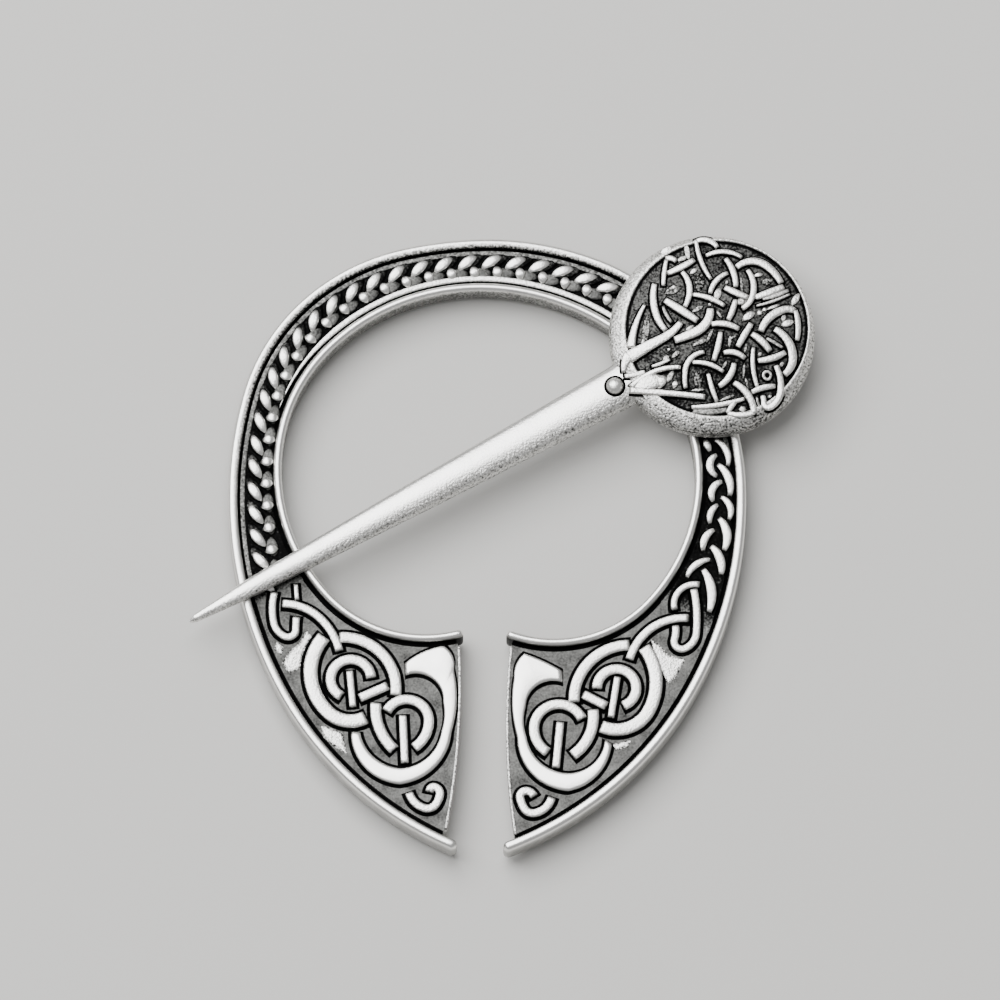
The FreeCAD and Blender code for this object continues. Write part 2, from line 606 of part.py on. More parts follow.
def make_shank():
    neck, point = size("back_dia") / 2 + 0.3, size("pin_reach")
    sections = []
    for number, (along, narrowing, thinning) in enumerate(SHANK_SECTIONS, start=1):
        wide = size("neck_wide") + (size("point_wide") - size("neck_wide")) * narrowing
        thick = size("neck_thick") + (size("point_thick") - size("neck_thick")) * thinning
        sections.append(shank_section(f"shank_section_{number}", neck + (point - neck) * along, wide, thick))
    shank = doc.addObject("Part::Loft", "shank")
    shank.Sections = sections
    shank.Solid = True
    shank.Ruled = True
    shank.setExpression("Placement.Base.z", PIN_BACK_F)
    return shank


def head_profile(rise):
    """Half section of the head's face, edge and back, with the face raised by rise."""
    V = FreeCAD.Vector
    bevel, back = size("head_bevel"), size("back_dia") / 2
    edge, roof = PIN_BACK + size("head_edge"), PIN_BACK + size("back_deep")
    brow = edge + size("head_rise")
    face = brow - size("head_sink")
    crest = face + size("head_dome")
    inside = HEAD_RADIUS - bevel - size("head_sink")
    quarter = inside / 2
    arc_high = face + size("head_dome") * 0.75
    return [
        V(0, 0, roof), V(back, 0, roof), V(back, 0, PIN_BACK), V(HEAD_RADIUS, 0, PIN_BACK),
        V(HEAD_RADIUS, 0, edge), V(HEAD_RADIUS - bevel, 0, brow), V(inside, 0, face + rise),
        V(quarter, 0, arc_high + rise), V(0, 0, crest + rise),
    ]


def turned_profile(name, rise):
    *outside, middle, crest = head_profile(rise)
    start, arc_start = outside[0], outside[-1]
    edges = [Part.LineSegment(a, b).toShape() for a, b in zip(outside, outside[1:])]
    edges.append(Part.Arc(arc_start, middle, crest).toShape())
    edges.append(Part.LineSegment(crest, start).toShape())
    profile = set_shape(name + "_profile", face_of(edges))
    thing = doc.addObject("Part::Revolution", name)
    thing.Source = profile
    thing.Axis = FreeCAD.Vector(0, 0, 1)
    thing.Base = FreeCAD.Vector(0, 0, 0)
    thing.Angle = degrees(2 * pi)
    thing.Solid = True
    return thing


def make_head_relief():
    """Strands cut off along a copy of the face that stands higher."""
    strands = raised("head_strands", strand_faces(HEAD_STRANDS), "sizes.head_dia", PIN_BACK_F)
    lowest = PIN_BACK + size("back_deep") + size("relief_root")
    strands.setExpression("Placement.Base.z", f"{PIN_BACK_F} + sizes.back_deep + sizes.relief_root")
    strands.Placement = FreeCAD.Placement(
        FreeCAD.Vector(0, 0, lowest),
        FreeCAD.Rotation(FreeCAD.Vector(0, 0, 1), -size("pin_turn") - degrees(pi)),
    )
    limit = turned_profile("head_relief_limit", size("head_relief"))
    relief = doc.addObject("Part::Common", "head_relief")
    relief.Base = strands
    relief.Tool = limit
    return relief


def make_ears():
    """Two ears on the head's back, in the loop's own directions, bored for the stub ends."""
    thick, radius = size("ear_thick"), size("ear_dia") / 2
    bore = size("stub_dia") / 2 + size("hinge_gap")
    start = size("strap_width") / 2 + size("hinge_gap")
    roof = PIN_BACK + size("back_deep") + size("relief_root")
    ears = []
    for side in (1, -1):
        near = FreeCAD.Vector(HINGE_OUT, side * start, HINGE_HIGH)
        outward = FreeCAD.Vector(0, side, 0)
        eye = Part.makeCylinder(radius, thick, near, outward)
        low = start if side > 0 else -start - thick
        web = Part.makeBox(2 * radius, thick, roof - HINGE_HIGH, FreeCAD.Vector(HINGE_OUT - radius, low, HINGE_HIGH))
        hole = Part.makeCylinder(bore, thick, near, outward)
        ears.append(eye.fuse(web).cut(hole))
    ears = set_shape("ears", Part.Compound(ears))
    ears.Placement = PIN_SPOT.inverse().multiply(LOOP_SPOT)
    return ears


def make_boss():
    x = HEAD_RADIUS + size("boss_dia") / 2
    top = PIN_BACK + size("neck_thick")
    ring = doc.addObject("Part::Cylinder", "boss_ring_outside")
    ring.setExpression("Radius", "sizes.boss_ring / 2")
    inner = doc.addObject("Part::Cylinder", "boss_ring_inside")
    inner.setExpression("Radius", "sizes.boss_dia / 2")
    for cylinder in (ring, inner):
        cylinder.setExpression("Height", "sizes.groove_wide")
        cylinder.Placement.Base = FreeCAD.Vector(x, 0, top - size("groove_wide") / 2)
    groove = cut_from("boss_groove", ring, inner)
    boss = doc.addObject("Part::Sphere", "boss")
    boss.setExpression("Radius", "sizes.boss_dia / 2")
    boss.Placement.Base = FreeCAD.Vector(x, 0, top - size("groove_wide") / 2)
    return groove, boss


def make_pin():
    groove, boss = make_boss()
    grooved_shank = cut_from("grooved_shank", make_shank(), groove)
    head = turned_profile("head", 0)
    pin = joined("pin", [head, grooved_shank, boss, make_head_relief(), make_ears()])
    pin.Placement = PIN_SPOT
    return pin


def check_all(pieces):
    for thing in doc.Objects:
        bad = [state for state in thing.State if state in ("Invalid", "Error")]
        if bad:
            raise RuntimeError(f"{thing.Name} is {bad}")
    for piece in pieces:
        shape = piece.Shape
        if shape.isNull() or not shape.isValid() or len(shape.Solids) != 1:
            raise RuntimeError(f"{piece.Name} has {len(shape.Solids)} solids, valid {shape.isValid()}")


pieces = [make_hoop(), make_loop(), make_pin()]
for piece in pieces:
    piece.Label = piece.Name
doc.recompute()
check_all(pieces)

os.makedirs("parts", exist_ok=True)
for piece in pieces:
    piece.Shape.exportStep(os.path.join("parts", piece.Label + ".step"))
    box = piece.Shape.BoundBox
    print(
        f"{piece.Label}: {piece.Shape.Volume:.1f} mm3, {len(piece.Shape.Faces)} faces, "
        f"x {box.XMin:.2f} to {box.XMax:.2f}, y {box.YMin:.2f} to {box.YMax:.2f}, z {box.ZMin:.2f} to {box.ZMax:.2f}"
    )
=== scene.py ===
import bmesh
import bpy
import math
import numpy as np
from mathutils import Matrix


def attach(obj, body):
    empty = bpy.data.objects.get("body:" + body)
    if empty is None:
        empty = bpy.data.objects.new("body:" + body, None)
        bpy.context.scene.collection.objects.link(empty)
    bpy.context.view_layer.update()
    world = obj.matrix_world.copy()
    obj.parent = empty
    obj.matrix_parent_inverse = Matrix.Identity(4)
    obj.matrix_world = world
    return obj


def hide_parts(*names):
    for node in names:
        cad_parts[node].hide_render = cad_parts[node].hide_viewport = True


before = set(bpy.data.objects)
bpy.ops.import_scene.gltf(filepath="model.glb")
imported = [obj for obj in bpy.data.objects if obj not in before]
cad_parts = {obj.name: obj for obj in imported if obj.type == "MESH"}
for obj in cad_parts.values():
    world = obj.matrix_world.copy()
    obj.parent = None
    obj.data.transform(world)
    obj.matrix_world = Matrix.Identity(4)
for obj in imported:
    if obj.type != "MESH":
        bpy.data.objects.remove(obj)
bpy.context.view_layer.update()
mm = 0.001

# heights in millimetres, as in the frame
height = {"back": 0.95, "field": 3.3, "groove": 3.05, "rimTop": 3.85, "pinBack": 4.0}

# Outer edge of the hoop from the left terminal over the crown to the right one, and inner edge.
# Millimetres. The first three points set an arc, each further one ends an arc tangent to it.
outerEdge = [
    (-3.5, -36.7), (-12.7, -30.9), (-20.9, -20.6), (-26.0, 0.7), (-24.6, 10.6),
    (-18.4, 20.7), (-8.6, 25.8), (-0.9, 26.8), (11.4, 24.6), (20.4, 17.4),
    (25.8, 1.1), (20.9, -20.1), (1.9, -36.9),
]
innerEdge = [
    (-2.7, -13.8), (-6.2, -14.3), (-15.7, -10.1), (-20.2, 6.8), (-15.7, 15.1),
    (1.8, 21.2), (14.2, 15.8), (20.5, -0.6), (15.8, -10.7), (2.1, -13.9),
]

# Raised strands: name, width, then the points of the centreline as for the edges
leftStrands = [
    ("outer_ring", 1.5, [(-16.5, -14.8), (-17.7, -18.7), (-15.9, -22.5), (-12.4, -23.1)]),
    ("outer_ring_end", 1.2, [(-14.6, -14.7), (-10.9, -16.1), (-9.2, -20.5)]),
    ("inner_ring", 1.1, [(-14.8, -20.7), (-13.8, -17.0), (-11.7, -18.7)]),
    ("inner_tongue", 0.75, [(-13.8, -18.4), (-13.5, -21.7)]),
    ("cross_bar", 1.0, [(-12.6, -20.9), (-10.2, -19.8)]),
    ("link_strand", 1.2, [(-11.2, -21.7), (-10.8, -24.2), (-9.5, -26.2)]),
    ("lower_ring", 1.1, [(-10.0, -22.2), (-7.6, -21.2), (-5.9, -23.3), (-7.2, -26.0)]),
    ("lower_tongue", 0.85, [(-8.5, -23.0), (-8.3, -27.5)]),
    ("curl", 0.9, [(-7.8, -31.0), (-7.2, -31.9), (-6.3, -32.4), (-5.2, -32.0), (-4.8, -31.0),
                   (-5.3, -30.2), (-5.8, -30.5)]),
    ("arm_loop", 0.8, [(-21.4, -10.2), (-21.55, -11.6), (-21.4, -13.2), (-20.3, -14.6),
                       (-19.2, -13.9), (-19.15, -12.8)]),
    ("arm_cross", 0.9, [(-20.3, -11.2), (-18.5, -11.6), (-16.8, -12.7), (-14.9, -15.9)]),
    ("arm_short", 0.5, [(-19.2, -9.4), (-19.1, -10.6)]),
]
rightStrands = [
    ("outer_ring", 1.4, [(15.7, -15.9), (16.7, -18.4), (16.0, -22.4), (11.5, -24.0)]),
    ("outer_ring_end", 1.2, [(13.9, -15.5), (10.5, -16.9), (8.6, -21.2)]),
    ("inner_ring", 1.1, [(10.9, -19.8), (13.0, -18.0), (13.7, -21.7)]),
    ("inner_tongue", 0.75, [(12.9, -19.0), (12.3, -22.8)]),
    ("cross_bar", 1.0, [(9.7, -20.7), (11.6, -21.7)]),
    ("link_strand", 1.2, [(10.5, -22.4), (10.1, -24.9), (8.6, -26.8)]),
    ("lower_ring", 1.1, [(9.3, -23.0), (6.2, -21.8), (4.6, -24.0), (5.8, -26.5)]),
    ("lower_tongue", 0.85, [(7.2, -23.7), (6.8, -28.0)]),
    ("curl", 0.9, [(6.3, -31.5), (5.7, -32.4), (4.7, -32.9), (3.6, -32.4), (3.2, -31.3),
                   (3.8, -30.6), (4.5, -31.0)]),
    ("arm_loop", 0.8, [(20.6, -9.9), (20.85, -12.0), (20.8, -14.3), (19.7, -15.85),
                       (18.62, -14.9), (18.75, -13.7)]),
    ("arm_cross", 0.9, [(19.8, -12.7), (17.5, -13.1), (15.5, -14.5), (14.2, -16.8)]),
    ("arm_bend", 0.7, [(18.6, -11.6), (19.1, -9.9), (20.9, -9.2)]),
    ("chain_12", 0.7, [(21.5, -7.6), (22.1, -8.8), (22.1, -12.0)]),
    ("chain_11", 0.5, [(22.2, -6.6), (21.0, -7.0), (19.9, -8.4)]),
    ("chain_10", 0.65, [(22.3, -5.2), (23.1, -6.3), (23.3, -8.1)]),
    ("chain_9", 0.55, [(22.6, -3.5), (21.7, -4.4), (21.5, -5.6)]),
    ("chain_8", 0.65, [(23.1, -2.3), (23.8, -3.5), (23.6, -5.6)]),
    ("chain_7", 0.5, [(23.0, -0.9), (22.3, -1.7), (22.2, -2.8)]),
    ("chain_6", 0.5, [(23.3, -0.1), (24.0, -0.7), (24.1, -2.4)]),
    ("chain_5", 0.55, [(23.4, 1.5), (22.5, 0.8), (22.5, -0.5)]),
    ("chain_4", 0.6, [(23.0, 3.3), (24.0, 2.0), (24.2, 0.1)]),
    ("chain_3", 0.55, [(22.9, 4.3), (22.2, 3.4), (22.9, 2.1)]),
    ("chain_2", 0.5, [(22.7, 5.9), (23.7, 5.0), (24.0, 3.2)]),
    ("chain_1", 0.5, [(21.7, 5.9), (22.2, 4.7)]),
]

# Crescents, as closed runs of arcs: corner, point on the arc, corner
leftCrescent = [
    (-13.7, -24.5), (-12.4, -28.2), (-8.8, -30.0), (-5.4, -28.4), (-3.6, -24.5), (-3.1, -21.3),
    (-3.4, -18.0), (-3.7, -16.2), (-4.4, -15.5), (-6.4, -16.1), (-8.3, -17.3), (-8.7, -18.0),
    (-8.2, -18.7), (-5.8, -18.9), (-4.5, -21.5), (-4.4, -23.0), (-4.7, -24.5), (-6.2, -27.2),
    (-8.6, -28.2), (-11.4, -27.0), (-12.7, -24.5),
]
rightCrescent = [
    (12.4, -25.7), (11.2, -28.8), (8.0, -30.7), (4.6, -29.2), (2.9, -25.1), (2.4, -22.0),
    (2.6, -18.8), (2.9, -17.2), (3.6, -16.3), (5.6, -17.1), (7.4, -18.1), (7.9, -18.7),
    (7.4, -19.4), (5.2, -19.6), (3.8, -22.0), (3.6, -23.6), (3.9, -25.1), (5.4, -27.7),
    (7.9, -28.7), (10.4, -27.8), (11.6, -25.3),
]

# shapes from runs of tangent arcs

def bearing(a, b):
    return math.atan2(b[1] - a[1], b[0] - a[0])


def wrapped(angle):
    return (angle + math.pi) % (2 * math.pi) - math.pi


def arcRuns(points):
    turnAt = bearing(points[0], points[1])
    ends = list(points)
    if len(points) > 2:
        turnAt += wrapped(bearing(points[0], points[2]) - bearing(points[1], points[2]))
        ends = [points[0]] + list(points[2:])
    runs = []
    for start, end in zip(ends, ends[1:]):
        turn = 2 * wrapped(bearing(start, end) - turnAt)
        runs.append((start, turnAt, end, turn))
        turnAt += turn
    return runs


def walk(runs, step):
    # places (x, y, heading) along the runs, about a step apart
    places = []
    for start, turnAt, end, turn in runs:
        chord = math.dist(start, end)
        straight = abs(turn) < 0.01
        length = chord if straight else chord * (turn / 2) / math.sin(turn / 2)
        count = max(2, round(abs(length) / step))
        for k in range(count):
            places.append(placeOn(start, turnAt, end, turn, chord, straight, k / count))
    places.append(placeOn(start, turnAt, end, turn, chord, straight, 1))
    return places


def placeOn(start, turnAt, end, turn, chord, straight, share):
    here = turnAt + turn * share
    if straight:
        return (start[0] + (end[0] - start[0]) * share, start[1] + (end[1] - start[1]) * share, here)
    radius = chord / (2 * math.sin(turn / 2))
    return (
        start[0] + radius * (math.sin(here) - math.sin(turnAt)),
        start[1] - radius * (math.cos(here) - math.cos(turnAt)),
        here,
    )


def moved(places, left):
    return [(x - left * math.sin(h), y + left * math.cos(h), h) for x, y, h in places]


def evenPlaces(places, start, pitch, count):
    line = np.array(places)
    gone = np.concatenate([[0], np.cumsum(np.hypot(*np.diff(line[:, :2], axis=0).T))])
    want = start + pitch * np.arange(count)
    want = want[want < gone[-1]]
    return list(zip(*(np.interp(want, gone, line[:, i]) for i in range(3))))


# meshes from rings of points (x, y, z, tone, grain)

def newShape():
    return {"points": [], "faces": [], "tone": [], "grain": []}


def addRings(shape, rings, closedAlong=False):
    first = len(shape["points"])
    around = len(rings[0])
    for ring in rings:
        for x, y, z, tone, grain in ring:
            shape["points"].append((x * mm, y * mm, z * mm))
            shape["tone"].append(tone)
            shape["grain"].append(grain)
    pairs = len(rings) if closedAlong else len(rings) - 1
    for i in range(pairs):
        a = first + i * around
        b = first + (i + 1) % len(rings) * around
        for k in range(around):
            n = (k + 1) % around
            shape["faces"].append((a + k, b + k, b + n, a + n))
    if closedAlong:
        return
    last = first + (len(rings) - 1) * around
    shape["faces"].append(tuple(first + k for k in range(around)))
    shape["faces"].append(tuple(last + k for k in reversed(range(around))))


def flatBase(z):
    return lambda x, y: z


# half section of a cast strand: share of half width, share of height, tone
strandSection = [
    (1.0, 0.0, 0.0), (0.98, 0.45, 0.25), (0.92, 0.76, 0.8),
    (0.78, 0.92, 1.0), (0.45, 0.985, 1.0), (0.0, 1.0, 1.0),
]
# a skirt starts below the face and lies just over it
footDeep, skirtUp, footUp = 0.1, 0.012, 0.014


def addStrand(shape, places, wide, high, baseAt, skirt=0.3, tone=1.0, grain=0.35,
              widthAt=None, dip=0.0, step=0.1):
    # a rounded strand with a dark flat skirt, which tapers down at both ends
    sides = [(-share, up, t) for share, up, t in strandSection]
    sides += [(share, up, t) for share, up, t in reversed(strandSection[:-1])]
    x0, y0, h0 = places[0]
    x1, y1, h1 = places[-1]
    ends = [(0.0, 0.25), (0.72, 0.8)]  # share of the height and of the tone
    if dip:
        # dips under the strand that crosses it
        places = [(x0 - d * math.cos(h0), y0 - d * math.sin(h0), h0) for d in (dip, dip / 2)] + places
        places += [(x1 + d * math.cos(h1), y1 + d * math.sin(h1), h1) for d in (dip / 2, dip)]
        x0, y0, h0 = places[0]
        x1, y1, h1 = places[-1]
        ends = [(0.0, 0.0), (0.6, 0.05), (0.85, 0.6)]
    before = (x0 - step * math.cos(h0), y0 - step * math.sin(h0), h0)
    after = (x1 + step * math.cos(h1), y1 + step * math.sin(h1), h1)
    line = [before] + places + [after]
    rises = ends + [(1.0, 1.0)] * (len(line) - 2 * len(ends)) + ends[::-1]
    rings = []
    for i, ((x, y, h), (rise, shade)) in enumerate(zip(line, rises)):
        share = min(max((i - 1) / (len(places) - 1), 0), 1)
        half = wide / 2 * (widthAt(share) if widthAt else 1)
        lift = high * rise * ((0.35 + 0.65 * widthAt(share)) if widthAt else 1)
        row = [(-half - skirt, -footDeep, 0), (-half - skirt, skirtUp, 0)]
        row += [(side * half, footUp + lift * up, t * tone * shade) for side, up, t in sides]
        row += [(half + skirt, skirtUp, 0), (half + skirt, -footDeep, 0)]
        ring = []
        for left, up, t in row:
            px, py = x - left * math.sin(h), y + left * math.cos(h)
            ring.append((px, py, baseAt(px, py) + up, t, grain))
        rings.append(ring)
    addRings(shape, rings)


def addTube(shape, places, section, roundEnd=0.0, grainAt=None):
    # section points (left, z, tone, grain) round a closed outline
    middle = (min(p[0] for p in section) + max(p[0] for p in section)) / 2
    low = min(p[1] for p in section)
    line = [(x, y, h, 1.0) for x, y, h in places]
    if roundEnd:
        steps = [math.radians(a) for a in (20, 40, 58, 74, 86)]
        x, y, h = places[0]
        out = [(-roundEnd * math.sin(a), math.cos(a)) for a in reversed(steps)]
        line = [(x + far * math.cos(h), y + far * math.sin(h), h, slim) for far, slim in out] + line
        x, y, h = places[-1]
        out = [(roundEnd * math.sin(a), math.cos(a)) for a in steps]
        line += [(x + far * math.cos(h), y + far * math.sin(h), h, slim) for far, slim in out]
    rings = []
    for x, y, h, slim in line:
        ring = []
        for left, z, tone, grain in section:
            side = middle + (left - middle) * slim
            up = low + (z - low) * (0.8 + 0.2 * slim)
            share = grainAt(x, y) if grainAt else 1
            rough = grain * share
            ring.append((x - side * math.sin(h), y + side * math.cos(h), up, tone - 0.25 * rough, rough))
        rings.append(ring)
    addRings(shape, rings)


def addBetween(shape, sideA, sideB, high, baseAt, count=90, skirt=0.28):
    # a raised form between two lines, bevelled along both
    lines = []
    for side in (sideA, sideB):
        line = np.array(walk(arcRuns(side[:3]), 0.1)[:-1])[:, :2]
        for i in range(2, len(side) - 2, 2):
            line = np.vstack([line, np.array(walk(arcRuns(side[i:i + 3]), 0.1))[:, :2]])
        gone = np.concatenate([[0], np.cumsum(np.hypot(*np.diff(line, axis=0).T))])
        want = np.linspace(0, gone[-1], count)
        lines.append(np.stack([np.interp(want, gone, line[:, k]) for k in (0, 1)], axis=1))
    a, b = lines
    middle, across = (a + b) / 2, (a - b) / 2
    half = np.maximum(np.linalg.norm(across, axis=1), 0.02)
    unit = across / half[:, None]
    along = np.gradient(middle, axis=0)
    along /= np.maximum(np.linalg.norm(along, axis=1, keepdims=True), 1e-9)
    middle = np.vstack([middle[:1] - 0.12 * along[:1], middle, middle[-1:] + 0.12 * along[-1:]])
    half, unit = np.concatenate([half[:1], half, half[-1:]]), np.vstack([unit[:1], unit, unit[-1:]])
    rises = [0.0, 0.7] + [1.0] * (count - 2) + [0.7, 0.0]
    rows = [
        (-skirt, -footDeep, 0), (-skirt, skirtUp, 0), (0.0, footUp, 0), (0.03, 0.45 * high, 0.3),
        (0.08, 0.76 * high, 0.85), (0.18, 0.92 * high, 1), (0.4, high, 1),
    ]
    rings = []
    for (x, y), h, (ux, uy), rise in zip(middle, half, unit, rises):
        ring = []
        for sign, order in ((1, rows), (-1, rows[::-1])):
            for by, up, tone in order:
                out = sign * (h - min(by, 0.9 * h))
                px, py = x + out * ux, y + out * uy
                lift = up * rise if up > 0.02 else up
                ring.append((px, py, baseAt(px, py) + lift, tone * (0.3 + 0.7 * rise), 0))
        rings.append(ring)
    addRings(shape, rings)


def inset(outline, by):
    # moves each corner of an outline inwards (outwards where by is negative)
    line = np.array(outline)
    if np.sum(line[:, 0] * np.roll(line[:, 1], -1) - np.roll(line[:, 0], -1) * line[:, 1]) < 0:
        by = -by
    ahead = np.roll(line, -1, axis=0) - line
    ahead /= np.maximum(np.linalg.norm(ahead, axis=1, keepdims=True), 1e-9)
    both = ahead + np.roll(ahead, 1, axis=0)
    both /= np.maximum(np.linalg.norm(both, axis=1, keepdims=True), 0.4)
    return [(x - by * dy, y + by * dx) for (x, y), (dx, dy) in zip(line, both)]


def addRaised(shape, outline, baseAt, rows):
    # rows (inset, height, tone, grain) from the foot to the top
    rings = []
    for by, up, tone, grain in rows:
        rings.append([(x, y, baseAt(x, y) + up, tone, grain) for x, y in inset(outline, by)])
    addRings(shape, rings)


def makePiece(name, shape, material, body, nodes):
    mesh = bpy.data.meshes.new(name)
    mesh.from_pydata(shape["points"], [], shape["faces"])
    for kind in ("tone", "grain"):
        layer = mesh.attributes.new(kind, "FLOAT", "POINT")
        layer.data.foreach_set("value", np.clip(np.array(shape[kind], np.float32), 0, 1))
    piece = bpy.data.objects.new(name, mesh)
    bpy.context.scene.collection.objects.link(piece)
    work = bmesh.new()
    work.from_mesh(mesh)
    bmesh.ops.recalc_face_normals(work, faces=work.faces)
    work.to_mesh(mesh)
    work.free()
    bpy.ops.object.select_all(action="DESELECT")
    piece.select_set(True)
    bpy.context.view_layer.objects.active = piece
    bpy.ops.object.shade_smooth_by_angle(angle=math.radians(50))
    mesh.materials.append(material)
    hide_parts(*nodes)
    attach(piece, body)
    corners = sum(len(p.vertices) - 2 for p in mesh.polygons)
    print(name, "has", corners, "triangles")
    return piece


# materials

def linear(code):
    parts = [int(code[i:i + 2], 16) / 255 for i in (1, 3, 5)]
    return tuple(c / 12.92 if c <= 0.04045 else ((c + 0.055) / 1.055) ** 2.4 for c in parts) + (1.0,)


def addNode(tree, kind, settings=None, links=None):
    node = tree.nodes.new(kind)
    for key, value in (settings or {}).items():
        if isinstance(key, int) or key in node.inputs:
            node.inputs[key].default_value = value
        else:
            setattr(node, key, value)
    for key, source in (links or {}).items():
        tree.links.new(source, node.inputs[key])
    return node


def setRamp(node, stops):
    ramp = node.color_ramp
    while len(ramp.elements) < len(stops):
        ramp.elements.new(0.5)
    for element, (place, code) in zip(ramp.elements, stops):
        element.position = place
        element.color = linear(code)


def antiqueSilver(name, look):
    # silver plate over cast zinc: black patina left in the deep places, polished on the high ones
    material = bpy.data.materials.new(name)
    material.use_nodes = True
    tree = material.node_tree
    tree.nodes.clear()
    place = addNode(tree, "ShaderNodeTexCoord").outputs["Object"]
    if look["plain"] is None:
        tone = addNode(tree, "ShaderNodeAttribute", {"attribute_name": "tone"}).outputs["Fac"]
        grain = addNode(tree, "ShaderNodeAttribute", {"attribute_name": "grain"}).outputs["Fac"]
    else:
        tone = addNode(tree, "ShaderNodeMath", {0: look["plain"], 1: 0.0}).outputs[0]
        grain = addNode(tree, "ShaderNodeMath", {0: look["plainGrain"], 1: 0.0}).outputs[0]
    fine = addNode(tree, "ShaderNodeTexNoise",
                   {"Scale": 1 / (look["gritMm"] * mm), "Detail": 2.0}, {"Vector": place})
    cloud = addNode(tree, "ShaderNodeTexNoise",
                    {"Scale": 1 / (look["cloudMm"] * mm), "Detail": 3.0}, {"Vector": place})
    cloudShift = addNode(tree, "ShaderNodeMath",
                         {"operation": "MULTIPLY_ADD", 1: look["cloud"], 2: -look["cloud"] / 2},
                         {0: cloud.outputs["Fac"]})
    fineShift = addNode(tree, "ShaderNodeMath",
                        {"operation": "MULTIPLY_ADD", 1: look["grit"], 2: -look["grit"] / 2},
                        {0: fine.outputs["Fac"]})
    grit = addNode(tree, "ShaderNodeMath", {"operation": "MULTIPLY"}, {0: fineShift.outputs[0], 1: grain})
    first = addNode(tree, "ShaderNodeMath", {"operation": "ADD"}, {0: tone, 1: cloudShift.outputs[0]})
    mixed = addNode(tree, "ShaderNodeMath", {"operation": "ADD", "use_clamp": True},
                    {0: first.outputs[0], 1: grit.outputs[0]})
    colour = addNode(tree, "ShaderNodeValToRGB", None, {"Fac": mixed.outputs[0]})
    setRamp(colour, look["stops"])
    shine = addNode(tree, "ShaderNodeMapRange",
                    {"From Min": 0.1, "From Max": 0.9,
                     "To Min": look["roughDark"], "To Max": look["roughBright"]},
                    {"Value": mixed.outputs[0]})
    rough = addNode(tree, "ShaderNodeMath",
                    {"operation": "MULTIPLY_ADD", 1: look["roughGrain"], "use_clamp": True},
                    {0: grain, 2: shine.outputs["Result"]})
    bumpy = addNode(tree, "ShaderNodeMath",
                    {"operation": "MULTIPLY_ADD", 1: look["bumpGrain"], 2: look["bumpPlain"],
                     "use_clamp": True},
                    {0: grain})
    bump = addNode(tree, "ShaderNodeBump", {"Distance": look["bumpMm"] * mm},
                   {"Height": fine.outputs["Fac"], "Strength": bumpy.outputs[0]})
    skin = addNode(tree, "ShaderNodeBsdfPrincipled", {"Metallic": 1.0},
                   {"Base Color": colour.outputs["Color"], "Roughness": rough.outputs[0],
                    "Normal": bump.outputs["Normal"]})
    addNode(tree, "ShaderNodeOutputMaterial", None, {"Surface": skin.outputs["BSDF"]})
    return material


# the grit, about 0.2 mm, is drawn coarser than the real one so that it shows
silverLook = {
    "plain": None, "plainGrain": 0.0,
    "gritMm": 0.22, "cloudMm": 1.6, "grit": 1.9, "cloud": 0.28, "bumpMm": 0.15,
    "bumpGrain": 0.75, "bumpPlain": 0.06,
    "roughDark": 0.55, "roughBright": 0.3, "roughGrain": 0.12,
    "stops": [(0.0, "#050505"), (0.18, "#121212"), (0.4, "#6f6f6d"), (0.72, "#d6d5d2"), (1.0, "#fbfaf7")],
}
castSilver = antiqueSilver("antique_silver_plate", silverLook)
plainSilver = antiqueSilver("plain_silver_plate", {**silverLook, "plain": 0.62, "plainGrain": 0.35})

# hoop

hoopLook = {
    "rimWide": 1.0, "innerRimWide": 0.9, "grooveWide": 0.4, "rimStep": 0.35,
    "rimEnd": 0.5, "innerRimEnd": 0.45,
    "fieldTone": 0.31, "strandHigh": 0.46, "strandStep": 0.16, "strandDip": 0.32,
    "chainGain": 1.5, "chainSkirt": 0.15,
    "edgeIn": 0.13, "edgeWide": 0.24, "edgeHigh": 0.14,
    "centre": (0.0, 0.74),
}
# dark floor under plait and chain: degrees round the centre, distances from the hoop's edges
floorLook = {
    "from": -153.0, "to": -394.0, "fade": 6.0, "tone": 0.1, "grain": 0.25,
    "outside": 1.38, "inside": 1.28, "up": 0.008, "deep": 0.2,
}
# low ridges beside the grooves: distance from the hoop's edge, width, height, skirt, tone, grain
outerRidge = (1.44, 0.5, 0.12, 0.04, 0.36, 0.35)
innerRidge = (1.32, 0.62, 0.3, 0.06, 0.95, 0.5)
ridgeEnds = {"left": -9, "right": 5, "inner": 9}
fieldBase = flatBase(height["field"])
outerLine = walk(arcRuns(outerEdge), hoopLook["rimStep"])
innerLine = walk(arcRuns(innerEdge), hoopLook["rimStep"])
# bowed ends of the plate
leftBow = [(x, y) for x, y, h in walk(arcRuns([(-2.9, -14.0), (-2.9, -25.3), (-4.4, -36.0)]), 0.4)]
rightBow = [(x, y) for x, y, h in walk(arcRuns([(2.4, -14.0), (1.8, -25.0), (2.8, -36.2)]), 0.4)]


def bowX(bow, y):
    ys = [p[1] for p in bow]
    return float(np.interp(y, ys[::-1], [p[0] for p in bow][::-1]))


def onPlate(x, y):
    # False in the gap between the terminals
    if y > -13:
        return True
    return x < bowX(leftBow, y) if x < -0.4 else x > bowX(rightBow, y)


def crownShare(x, y):
    # 0 on the arms, 1 on the crown
    return min(max((y + 2) / 12, 0), 1)


def chainWidth(share):
    return 0.45 + 0.55 * math.sin(math.pi * (0.05 + 0.9 * share))


def ridgeWidth(share):
    return min(1, 0.1 + 5 * share, 0.1 + 5 * (1 - share))


def leafWidth(share):
    return max(math.sin(math.pi * (0.04 + 0.92 * share)), 0.05) ** 0.7


